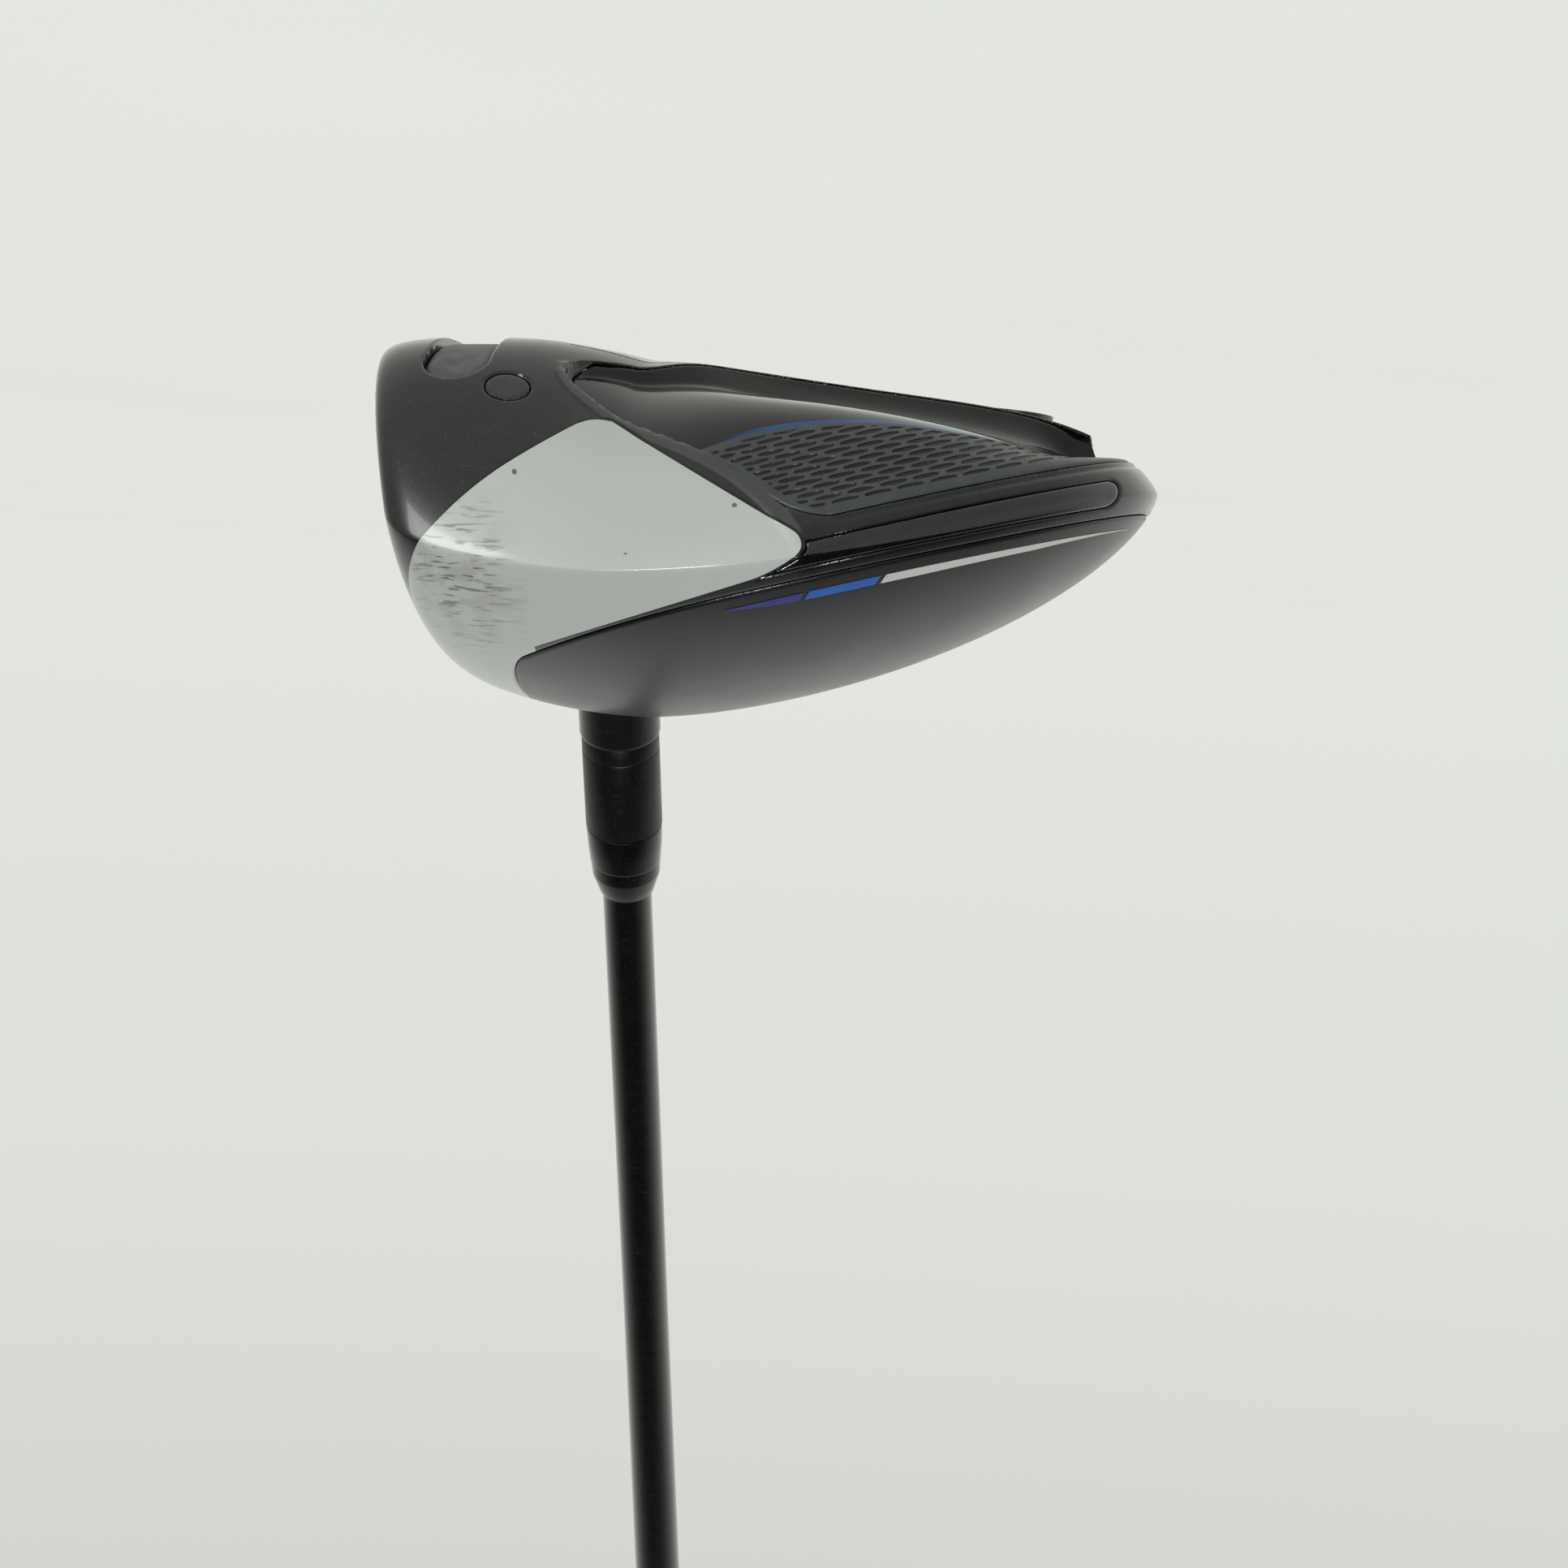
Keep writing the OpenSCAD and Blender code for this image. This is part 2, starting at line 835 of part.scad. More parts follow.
module grip() {
    steps = 10;
    cap_round = 3;
    outside = [
        for (i = [0:steps])
            let (along = grip_foot + (grip_length - 12) * i / steps)
            [grip_d(along) / 2, along]
    ];
    clear = tape_wall + 0.05;
    color(rubber)
        difference() {
            turned(concat(
                [[shaft_d(grip_foot) / 2 + clear, grip_foot]],
                outside,
                [
                    [grip_cap_d / 2, club_length - 9], [grip_cap_d / 2, club_length - cap_round],
                    [grip_cap_d / 2 - cap_round, club_length], [0, club_length],
                    [0, butt_end + 0.05], [shaft_d(butt_end) / 2 + clear, butt_end + 0.05]
                ]
            ));
            on_shaft(butt_end - 1) cylinder(d = vent_d, h = cap_wall + 2, $fn = round_fn);
        }
}

head_body();
face_plate();
crown_shell();
toe_sole_panel();
heel_sole_panel();
skirt_inlay_toe();
skirt_inlay_heel();
crown_edge_decal();
keel_cap();
slot_insert();
port_plug();
port_resin();
weight_port();
rear_weight();
rear_weight_screw();
hosel_liner();
hosel_screw();
screw_washer();
loft_sleeve();
ferrule();
shaft();
tip_plug();
grip_tape();
grip();
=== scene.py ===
import math

import bpy
import numpy as np
from mathutils import Matrix, Vector


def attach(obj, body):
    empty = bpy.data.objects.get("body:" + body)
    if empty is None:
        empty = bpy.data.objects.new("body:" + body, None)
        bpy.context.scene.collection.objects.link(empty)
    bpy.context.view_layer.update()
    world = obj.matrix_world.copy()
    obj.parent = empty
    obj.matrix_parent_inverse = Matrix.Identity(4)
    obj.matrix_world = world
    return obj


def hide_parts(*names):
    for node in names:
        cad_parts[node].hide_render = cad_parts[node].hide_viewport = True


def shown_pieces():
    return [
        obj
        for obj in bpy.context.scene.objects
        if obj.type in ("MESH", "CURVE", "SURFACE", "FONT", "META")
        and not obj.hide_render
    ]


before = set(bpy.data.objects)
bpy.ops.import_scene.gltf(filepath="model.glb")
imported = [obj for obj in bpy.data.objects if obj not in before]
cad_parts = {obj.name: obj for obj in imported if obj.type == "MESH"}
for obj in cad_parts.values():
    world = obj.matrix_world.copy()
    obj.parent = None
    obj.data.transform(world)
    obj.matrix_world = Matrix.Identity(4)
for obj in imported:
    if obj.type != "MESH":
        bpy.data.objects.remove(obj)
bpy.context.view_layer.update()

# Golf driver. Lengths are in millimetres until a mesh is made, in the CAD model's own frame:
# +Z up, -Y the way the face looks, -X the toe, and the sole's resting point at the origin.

MM = 0.001


# ---- The head's surface, close to the one in part.scad ----------------------------------------

TOE_REACH = 57.9
HEEL_REACH = 59.9
CROWN_HEIGHT = 55.5
LOFT = math.radians(12.5)
FACE_RADIUS = 305.0
CENTRE_Y = 16.0
FRONT_REACH = 71.0
REAR_REACH = 76.4
OUTLINE_POWER = 2.12
FACE_MID_Z = 25.5
FACE_MID_Y = -18.9
FACE_EASE = 9.0
FACE_SET_BACK = 0.15  # keeps the face inside the CAD box
EQUATOR_Z, EQUATOR_FALL, EQUATOR_DIP = 34.5, 0.0164, 0.0043
SOLE_RISE, SOLE_BLEND, SOLE_BEND, SOLE_LEAD = 0.14, 7, 0.0006, 0.0019
SEAM_Z, SEAM_FALL = 42.4, 0.285
GROOVE_Z, GROOVE_FALL = 35.6, 0.3
KEEL_END_Y = 82.0
WEIGHT_Y, WEIGHT_RADIUS = 69.0, 7.15
LIE = math.radians(57.5)
SHAFT_DIRECTION = np.array([math.cos(LIE), 0.0, math.sin(LIE)])
SHAFT_GROUND = np.array([31.5, 2.0, 0.0])
PORT = np.array([-39.2, 0.0, 8.35])
PORT_TILT = math.radians(41)
PORT_RADIUS = 3.25


def reach(c, s):
    side = np.where(c > 0, HEEL_REACH, TOE_REACH)
    ahead = np.where(s > 0, REAR_REACH, FRONT_REACH)
    total = (np.abs(c) / side) ** OUTLINE_POWER + (np.abs(s) / ahead) ** OUTLINE_POWER
    return total ** (-1 / OUTLINE_POWER)


def equator_z(y):
    back = y - CENTRE_Y
    behind = EQUATOR_FALL * np.maximum(back, 0) ** 1.6
    return EQUATOR_Z - np.where(back > 0, behind, EQUATOR_DIP * back * back)


def keel_z(y):
    behind = SOLE_RISE * y * y / (np.abs(y) + SOLE_BLEND) - SOLE_BEND * y * y
    return np.where(y > 0, behind, SOLE_LEAD * y * y)


def seam_height(y):
    """Where the crown meets the skirt; it curves up a little towards the face."""
    return SEAM_Z - SEAM_FALL * (y - CENTRE_Y) + 0.0012 * np.maximum(36 - y, 0) ** 2


def groove_height(y):
    return GROOVE_Z - GROOVE_FALL * (y - CENTRE_Y)


def face_y(x, z):
    up = z - FACE_MID_Z
    bulge = FACE_SET_BACK + FACE_MID_Y + x * x / 2 / FACE_RADIUS
    return bulge + up * math.tan(LOFT) + up * up / 2 / FACE_RADIUS


def eased_max(a, b, width):
    h = np.maximum(width - np.abs(a - b), 0) / width
    return np.maximum(a, b) + h * h * width / 4


def smoothstep(t):
    t = np.clip(t, 0, 1)
    return t * t * (3 - 2 * t)


def rounded_min(a, b, radius):
    """The smaller of two distances, with the corner between them rounded."""
    corner = radius - np.hypot(radius - a, radius - b)
    return np.where((a < radius) & (b < radius), corner, np.minimum(a, b))


def inside_convex(points, x, y, radius):
    """Distance inside a convex outline, in either order, with rounded corners."""
    corners = np.asarray(points, float)
    middle = corners.mean(axis=0)
    field = None
    for (ax, ay), (bx, by) in zip(corners, np.roll(corners, -1, axis=0)):
        nx, ny = ay - by, bx - ax
        size = math.hypot(nx, ny)
        sign = 1 if (middle[0] - ax) * nx + (middle[1] - ay) * ny > 0 else -1
        side = sign * ((x - ax) * nx + (y - ay) * ny) / size
        field = side if field is None else rounded_min(field, side, radius)
    return field


def along_curve(t, knots):
    """A piecewise straight curve through (t, value) knots."""
    knots = np.asarray(knots, float)
    return np.interp(t, knots[:, 0], knots[:, 1])


KEEL_EDGE = [(4, 33), (8, 27), (14, 21), (20, 17), (28, 13.5), (50, 10), (82, 8)]


def recess_field(x, y, margin=0.0):
    """Distance inside the recess on either side of the keel; a margin draws in its outer side."""
    across = np.abs(x)
    from_keel = (across - along_curve(y, KEEL_EDGE)) * 0.93
    from_end = np.where(across < 14, y - KEEL_END_Y, -50)
    from_toe = (34.5 + (y - 9) * 20 / 38 - across) * 0.885 - margin
    inner = np.maximum(from_keel, from_end)
    return rounded_min(rounded_min(inner, from_toe, 3.5), y - 6.3 - margin, 3.0)


def head_position(chart, p, q):
    """A point of the head's skin. Each chart is a disc, with the outline as its rim."""
    p = np.where(np.hypot(p, q) < 1e-8, 1e-8, p)
    rho = np.minimum(np.hypot(p, q), 1)
    c, s = p / np.hypot(p, q), q / np.hypot(p, q)
    across = np.sin(rho * math.pi / 2)
    r = reach(c, s)
    x = r * across * c
    y = CENTRE_Y + r * across * s
    rim_y = CENTRE_Y + r * s
    rim = equator_z(rim_y)
    rear = np.maximum(s, 0) ** 2
    front = np.maximum(-s, 0) ** 1.5
    crown = rim + (CROWN_HEIGHT - rim) * np.maximum(
        1 - across ** (1.64 - 0.1 * rear + 0.39 * front), 0
    ) ** (0.78 - 0.12 * rear)
    side = np.where(c > 0, 3.4, 2.25)
    power = side + (8 - side) * rear + (6.4 - side) * front
    sole = rim + (keel_z(y) - rim) * np.maximum(1 - across**power, 0) ** (
        0.96 - 0.14 * rear - 0.05 * front - 0.12 * np.maximum(-c, 0) ** 4
    )
    near_keel = 1 - smoothstep((np.abs(x) - 10) / 30)
    sink = 2.0 + 2.8 * smoothstep((y - 10) / 30) * near_keel
    wall = 1.3 + 7.0 * smoothstep((24 - np.abs(x)) / 10) * smoothstep((KEEL_END_Y - 2 - y) / 8)
    inside = recess_field(x, y)
    drop = 1 - (1 - np.clip(inside / wall, 0, 1)) ** 2.0
    below = groove_height(y) - sole
    sole = sole + sink * drop * smoothstep(below / 9)
    z = np.where(chart == 0, crown, sole)
    return np.stack([x, eased_max(y, face_y(x, z), FACE_EASE), z], axis=-1)


# ---- Triangle meshes that can be cut along fields ---------------------------------------------


class Sheet:
    """Triangles over the two charts of the head. A field gives each point a distance in mm."""

    def __init__(self, chart, p, q, tris):
        self.chart, self.p, self.q, self.tris = chart, p, q, tris
        self.points = head_position(chart, p, q)

    def edges(self):
        pairs = np.sort(self.tris[:, [[0, 1], [1, 2], [2, 0]]].reshape(-1, 2), axis=1)
        count = len(self.p)
        keys, where = np.unique(pairs[:, 0] * count + pairs[:, 1], return_inverse=True)
        return np.stack([keys // count, keys % count], axis=1), where.reshape(-1, 3)

    def split(self, marked, share, unique, of_tri):
        """Splits the marked edges at a share of their length, and the triangles that use them."""
        count = len(self.p)
        a, b = unique[marked, 0], unique[marked, 1]
        w = share[marked]
        new_id = np.full(len(unique), -1)
        new_id[marked] = count + np.arange(marked.sum())
        self.chart = np.concatenate([self.chart, self.chart[a]])
        p = self.p[a] * (1 - w) + self.p[b] * w
        q = self.q[a] * (1 - w) + self.q[b] * w
        on_rim = np.minimum(np.hypot(self.p[a], self.q[a]), np.hypot(self.p[b], self.q[b])) > 1 - 1e-7
        rim = np.where(on_rim, np.hypot(p, q), 1)
        self.p = np.concatenate([self.p, p / rim])
        self.q = np.concatenate([self.q, q / rim])
        fresh = slice(count, None)
        made = head_position(self.chart[fresh], self.p[fresh], self.q[fresh])
        self.points = np.concatenate([self.points, made])
        mid = new_id[of_tri]
        cuts = (mid >= 0).sum(axis=1)
        done = [self.tris[cuts == 0]]
        t, m = self.tris[cuts == 3], mid[cuts == 3]
        for trio in ((t[:, 0], m[:, 0], m[:, 2]), (m[:, 0], t[:, 1], m[:, 1]),
                     (m[:, 2], m[:, 1], t[:, 2]), (m[:, 0], m[:, 1], m[:, 2])):
            done.append(np.stack(trio, axis=1))
        for k in range(3):
            turn = [k, (k + 1) % 3, (k + 2) % 3]
            one = (cuts == 1) & (mid[:, k] >= 0)
            t, m = self.tris[one][:, turn], mid[one][:, turn]
            done.append(np.stack([t[:, 0], m[:, 0], t[:, 2]], axis=1))
            done.append(np.stack([m[:, 0], t[:, 1], t[:, 2]], axis=1))
            two = (cuts == 2) & (mid[:, turn[2]] < 0)
            t, m = self.tris[two][:, turn], mid[two][:, turn]
            done.append(np.stack([m[:, 0], t[:, 1], m[:, 1]], axis=1))
            done.append(np.stack([t[:, 0], m[:, 0], m[:, 1]], axis=1))
            done.append(np.stack([t[:, 0], m[:, 1], t[:, 2]], axis=1))
        self.tris = np.concatenate(done)

    def refine(self, field, width, longest):
        """Halves the edges longer than a length that come within a width of a field's zero."""
        unique, of_tri = self.edges()
        value = np.abs(field(self.points))
        a, b = unique[:, 0], unique[:, 1]
        length = np.linalg.norm(self.points[a] - self.points[b], axis=1)
        marked = (np.minimum(value[a], value[b]) < width + length) & (length > longest)
        self.split(marked, np.full(len(unique), 0.5), unique, of_tri)

    def cut(self, field, level=0.0):
        """Puts a line of edges where the field has a level."""
        value = field(self.points) - level
        value = np.where(np.abs(value) < 1e-4, 0, value)
        unique, of_tri = self.edges()
        a, b = unique[:, 0], unique[:, 1]
        marked = value[a] * value[b] < 0
        share = np.zeros(len(unique))
        share[marked] = value[a[marked]] / (value[a[marked]] - value[b[marked]])
        self.split(marked, share, unique, of_tri)


def disc(rings):
    """A disc of triangles of about equal size: its points and the triangles."""
    p, q, start = [np.zeros(1)], [np.zeros(1)], [0, 1]
    for k in range(1, rings + 1):
        turn = 2 * math.pi * np.arange(6 * k) / (6 * k)
        p.append(np.cos(turn) * k / rings)
        q.append(np.sin(turn) * k / rings)
        start.append(start[-1] + 6 * k)
    tris = []
    for k in range(1, rings + 1):
        outer, inner, size, inside = start[k], start[k - 1], 6 * k, max(6 * (k - 1), 1)
        for sector in range(6):
            j = np.arange(k)
            o = outer + (sector * k + j) % size
            o_next = outer + (sector * k + j + 1) % size
            i = inner + (sector * (k - 1) + j) % inside
            tris.append(np.stack([i, o, o_next], axis=1))
            i_next = inner + (sector * (k - 1) + j + 1) % inside
            tris.append(np.stack([i, o_next, i_next], axis=1)[: k - 1])
    return np.concatenate(p), np.concatenate(q), np.concatenate(tris)


# ---- Where each piece of the head lies --------------------------------------------------------

GAP = 0.16  # the seam between two pieces of the head
OUTSIDE = -20  # a field's value where its piece cannot be
FLAT_SOLE_Z = 20
LINER_FOOT, WELL_RADIUS = 25, 4.8
SLOT_Y, SLOT_HALF, SLOT_R = -8.6, 33.5, 4.7
FACE_PLAN = [
    (-37.1, 18.2), (-30.3, 8.1), (33.7, 7.1), (40.8, 16.2), (37.9, 39.8), (18.1, 45.8), (-17.8, 45.9),
    (-34.2, 37.9)
]
CAP_HALF = [(5, 20), (14, 15.5), (28, 9.5), (50, 6.5), (57, 5.5)]
TOE_PAINT = [
    (-13, 38), (-8.6, 31.2), (-4.6, 25.7), (3.2, 18.7), (12.6, 12.1), (45.6, 29.2), (41.5, 34.2),
    (27, 40.2), (9.4, 45.3), (-13, 53)
]
LEAF_EDGE = [
    (20, 45), (28, 42.5), (34.7, 40.1), (44.7, 37.5), (52, 35), (62.8, 30.5), (75, 22), (84, 9), (90, 0)
]


def shaft_frame(points):
    """Distance along the shaft axis from the ground, and distance from the axis."""
    away = points - SHAFT_GROUND
    along = away @ SHAFT_DIRECTION
    return along, np.linalg.norm(away - along[:, None] * SHAFT_DIRECTION, axis=1)


def crown_field(points):
    """Inside the composite crown, which a seam and a line behind the face bound."""
    x, y, z = points.T
    above = (z - seam_height(y)) / math.hypot(1, SEAM_FALL)
    behind = y - 0.3 + 0.0004 * x * x
    _, away = shaft_frame(points)
    return rounded_min(rounded_min(above, behind, 4.0), away - 14.0, 3.0)


def panel_field(points):
    """Inside either recessed sole panel."""
    x, y, z = points.T
    below = (groove_height(y) - 0.9 - z) / math.hypot(1, GROOVE_FALL)
    inner = rounded_min(recess_field(x, y, 1.0) - 0.15, below, 3.0)
    return np.minimum(inner, np.abs(x) - 0.3)


def inlay_field(points):
    """Inside the gloss strip let into the skirt on either side."""
    _, y, z = points.T
    up = (z - groove_height(y) - 2.1) / math.hypot(1, GROOVE_FALL)
    down = (seam_height(y) - 1.5 - z) / math.hypot(1, SEAM_FALL)
    body = rounded_min(rounded_min(up, down, 1.2), 86.6 - y, 2.0)
    return np.minimum(body, np.minimum(-0.6 - paint_field(points), y - 38))


def face_field(points):
    """Inside the face plate."""
    x, y, z = points.T
    field = inside_convex(FACE_PLAN, x, z, 12)
    return np.where(y < face_y(x, z) + 3, field, OUTSIDE)


def sole_only(points, field):
    """A field that holds on the sole's flatter part alone."""
    return np.where(points[:, 2] < FLAT_SOLE_Z, field, OUTSIDE)


def slot_field(points):
    x, y, _ = points.T
    past = np.maximum(np.abs(x) - SLOT_HALF, 0)
    return sole_only(points, SLOT_R - np.hypot(past, y - SLOT_Y))


def cap_field(points):
    x, y, _ = points.T
    across = (along_curve(y, CAP_HALF) - np.abs(x)) * 0.92
    return sole_only(points, rounded_min(across, np.minimum(y - 4.5, 57 - y), 2.0))


def port_field(points):
    axis = np.array([math.sin(PORT_TILT), 0.0, math.cos(PORT_TILT)])
    away = points - PORT
    flat = away - (away @ axis)[:, None] * axis
    return sole_only(points, PORT_RADIUS - np.linalg.norm(flat, axis=1))


def weight_field(points):
    x, y, _ = points.T
    return sole_only(points, WEIGHT_RADIUS - np.hypot(x, y - WEIGHT_Y))


def well_field(points):
    along, away = shaft_frame(points)
    return sole_only(points, np.where(along < LINER_FOOT, WELL_RADIUS - away, OUTSIDE))


def paint_field(points):
    """Inside the white paint: a kite on each side, and a band in front of the crown."""
    x, y, z = points.T
    kite = inside_convex(TOE_PAINT, y, z, 3.0)
    kite = np.where(np.abs(x) > 12, kite, np.minimum(kite, z - 38))
    band = np.minimum(z - 43.5, 6 - y)
    return np.maximum(kite, band)


def edge_bead_field(points):
    """Distance from the raised edge in front of the recess."""
    x, y, z = points.T
    return np.abs(recess_field(x, y) + 0.75) + np.where((z < 32) & (y > 4) & (np.abs(x) > 29), 0, 9)


STRIPES = [(34.0, 44.6), (45.3, 54.8), (55.5, 88.0)]


def stripe_field(points, stripe):
    """Inside one of the three stripes above the crown's toe edge."""
    x, y, z = points.T
    start, end = STRIPES[stripe]
    rise = (z - seam_height(y)) / math.hypot(1, SEAM_FALL)
    width = along_curve(y, [(33.5, 0.1), (40, 0.75), (46, 0.95), (60, 0.95), (75, 0.7), (87, 0.1)])
    low = 1.55
    across = np.minimum(rise - low, low + width - rise)
    slant = (rise - low) * 0.9
    ends = np.minimum(y + slant - start, end - y - slant)
    return np.where((x < 0) & (z > 18), np.minimum(across, ends * 0.9), -9)


def leaf_field(points):
    """Inside one of the staggered leaf-shaped cells of the sole panels."""
    x, y, z = points.T
    row = (groove_height(y) - 2.2 - z) / 0.95
    index = np.floor(row)
    v = row - index - 0.5
    length = 4.3
    step = (y + 0.25 * index + (index % 2) * length / 2) / length
    u = (step - np.floor(step) - 0.5) * length
    half = 0.36 - 0.17 * (u / (length * 0.42)) ** 2
    leaf = np.minimum(half - np.abs(v) * 0.95, (length * 0.42 - np.abs(u)) * 0.6)
    limit = np.minimum(panel_field(points) - 1.0, (np.abs(x) - along_curve(y, LEAF_EDGE)) - 0.9)
    return np.minimum(leaf, np.minimum(limit, row - 0.2) * 0.5)


# ---- The head's mesh ---------------------------------------------------------------------------


def head_sheet():
    rings = 64
    p, q, tris = disc(rings)
    count = len(p)
    chart = np.repeat([0, 1], count)
    both = np.concatenate([tris, tris[:, ::-1] + count])
    sheet = Sheet(chart, np.tile(p, 2), np.tile(q, 2), both)
    fine = 0.4
    holes = [slot_field, port_field, weight_field, well_field]
    pieces = [crown_field, panel_field, inlay_field, face_field, cap_field] + holes
    sheet.refine(lambda at: np.where(at[:, 2] < 34, recess_field(at[:, 0], at[:, 1]), 9), 1.6, 0.5)
    sheet.refine(lambda at: panel_field(at) - 6, 9.0, 0.9)
    for field in pieces:
        for longest in (1.2, 0.7, fine):
            sheet.refine(field, 0.35, longest)
    for stripe in range(3):
        for longest in (0.8, 0.4):
            sheet.refine(lambda at: stripe_field(at, stripe), 0.1, longest)
    for longest in (0.9, 0.55):
        sheet.refine(leaf_field, 0.12, longest)
    for field in pieces:
        sheet.cut(field, GAP / 2)
        sheet.cut(field, -GAP / 2)
    for stripe in range(3):
        sheet.cut(lambda at: stripe_field(at, stripe))
    sheet.cut(leaf_field, 0.0)
    sheet.cut(leaf_field, 0.09)
    return sheet


def welded(points, tris):
    grid = np.round(points * 5000).astype(np.int64) + 2**19
    keys = (grid[:, 0] * 2**20 + grid[:, 1]) * 2**20 + grid[:, 2]
    _, first, where = np.unique(keys, return_index=True, return_inverse=True)
    tris = where.reshape(-1)[tris]
    real = (tris[:, 0] != tris[:, 1]) & (tris[:, 1] != tris[:, 2]) & (tris[:, 0] != tris[:, 2])
    return points[first], tris[real]


def vertex_normals(points, tris):
    a, b, c = points[tris[:, 0]], points[tris[:, 1]], points[tris[:, 2]]
    flat = np.cross(b - a, c - a)
    total = np.zeros_like(points)
    for k in range(3):
        np.add.at(total, tris[:, k], flat)
    return total / np.maximum(np.linalg.norm(total, axis=1, keepdims=True), 1e-12)


def closed(outer, inner, tris):
    """A solid from a patch, the same patch further in, and a wall round its edge."""
    used, where = np.unique(tris, return_inverse=True)
    tris = where.reshape(-1, 3)
    count = len(used)
    pairs = tris[:, [[0, 1], [1, 2], [2, 0]]].reshape(-1, 2)
    key = np.sort(pairs, axis=1)
    _, first, counts = np.unique(key[:, 0] * count + key[:, 1], return_index=True, return_counts=True)
    a, b = pairs[first[counts == 1]].T
    wall = np.concatenate([np.stack([b, a, a + count], axis=1), np.stack([b, a + count, b + count], axis=1)])
    points = np.concatenate([outer[used], inner[used]])
    return points, np.concatenate([tris, tris[:, ::-1] + count, wall]), used


def make_piece(name, points, faces, body, replaces, material, sharp=38, attributes=None):
    mesh = bpy.data.meshes.new(name)
    faces = np.asarray(faces, np.int32)
    size = faces.shape[1]
    mesh.vertices.add(len(points))
    mesh.vertices.foreach_set("co", (np.asarray(points) * MM).astype(np.float32).ravel())
    mesh.loops.add(faces.size)
    mesh.loops.foreach_set("vertex_index", faces.ravel())
    mesh.polygons.add(len(faces))
    mesh.polygons.foreach_set("loop_start", np.arange(len(faces), dtype=np.int32) * size)
    mesh.update(calc_edges=True)
    mesh.validate()
    mesh.polygons.foreach_set("use_smooth", np.ones(len(mesh.polygons), bool))
    mesh.set_sharp_from_angle(angle=math.radians(sharp))
    for key, values in (attributes or {}).items():
        layer = mesh.attributes.new(key, "FLOAT", "POINT")
        layer.data.foreach_set("value", np.asarray(values, np.float32))
    piece = bpy.data.objects.new(name, mesh)
    bpy.context.scene.collection.objects.link(piece)
    mesh.materials.append(material)
    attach(piece, body)
    if replaces:
        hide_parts(*replaces)
    return piece


# ---- Materials ----------------------------------------------------------------------------------


def srgb(*values):
    """Linear colour from 0 to 255 display values."""
    out = []
    for v in values:
        v = v / 255
        out.append(v / 12.92 if v <= 0.04045 else ((v + 0.055) / 1.055) ** 2.4)
    return tuple(out) + (1.0,)


class Shade:
    """A material built from a few kinds of node. Texture coordinates are in millimetres."""

    def __init__(self, name, colour, roughness, metallic=0.0, coat=0.0, coat_roughness=0.05):
        self.material = bpy.data.materials.new(name)
        self.material.use_nodes = True
        self.tree = self.material.node_tree
        self.surface = self.tree.nodes["Principled BSDF"]
        self.coordinates = self.tree.nodes.new("ShaderNodeTexCoord").outputs["Object"]
        self.set("Base Color", colour)
        self.set("Roughness", roughness)
        self.set("Metallic", metallic)
        self.set("Coat Weight", coat)
        self.set("Coat Roughness", coat_roughness)

    def put(self, socket, value):
        if isinstance(value, bpy.types.NodeSocket):
            self.tree.links.new(value, socket)
        else:
            socket.default_value = value

    def set(self, name, value):
        self.put(self.surface.inputs[name], value)

    def noise(self, scale, detail=3.0, stretch=(1, 1, 1), turn=(0, 0, 0), seed=0.0):
        place = self.tree.nodes.new("ShaderNodeMapping")
        place.inputs["Scale"].default_value = tuple(1000 * scale * s for s in stretch)
        place.inputs["Rotation"].default_value = tuple(math.radians(t) for t in turn)
        place.inputs["Location"].default_value = (seed, seed * 1.7, seed * 0.6)
        self.tree.links.new(self.coordinates, place.inputs["Vector"])
        texture = self.tree.nodes.new("ShaderNodeTexNoise")
        texture.inputs["Scale"].default_value = 1.0
        texture.inputs["Detail"].default_value = detail
        self.tree.links.new(place.outputs["Vector"], texture.inputs["Vector"])
        return texture.outputs["Fac"]

    def band(self, value, low, high, to_low=0.0, to_high=1.0):
        node = self.tree.nodes.new("ShaderNodeMapRange")
        node.interpolation_type = "SMOOTHSTEP"
        self.put(node.inputs["Value"], value)
        node.inputs["From Min"].default_value = low
        node.inputs["From Max"].default_value = high
        node.inputs["To Min"].default_value = to_low
        node.inputs["To Max"].default_value = to_high
        return node.outputs["Result"]

    def math(self, operation, a, b=0.0):
        node = self.tree.nodes.new("ShaderNodeMath")
        node.operation = operation
        self.put(node.inputs[0], a)
        self.put(node.inputs[1], b)
        return node.outputs[0]

    def mix(self, share, a, b):
        node = self.tree.nodes.new("ShaderNodeMix")
        node.data_type = "RGBA"
        self.put(node.inputs[0], share)
        self.put(node.inputs[6], a)
        self.put(node.inputs[7], b)
        return node.outputs[2]

    def attribute(self, name):
        node = self.tree.nodes.new("ShaderNodeAttribute")
        node.attribute_name = name
        return node.outputs["Fac"]

    def bump(self, height, distance, strength=1.0):
        node = self.tree.nodes.new("ShaderNodeBump")
        node.inputs["Strength"].default_value = strength
        node.inputs["Distance"].default_value = distance * MM
        self.put(node.inputs["Height"], height)
        self.set("Normal", node.outputs["Normal"])

    def scratches(self, amount=0.65):
        """Fine straight marks in two directions, from 0 to 1."""
        one = self.band(self.noise(0.5, 2, (0.25, 9, 3), (20, 35, 40), 3), amount, amount + 0.05)
        two = self.band(self.noise(0.5, 2, (7, 0.3, 5), (50, 10, 15), 8), amount + 0.02, amount + 0.07)
        return self.math("MAXIMUM", one, two)


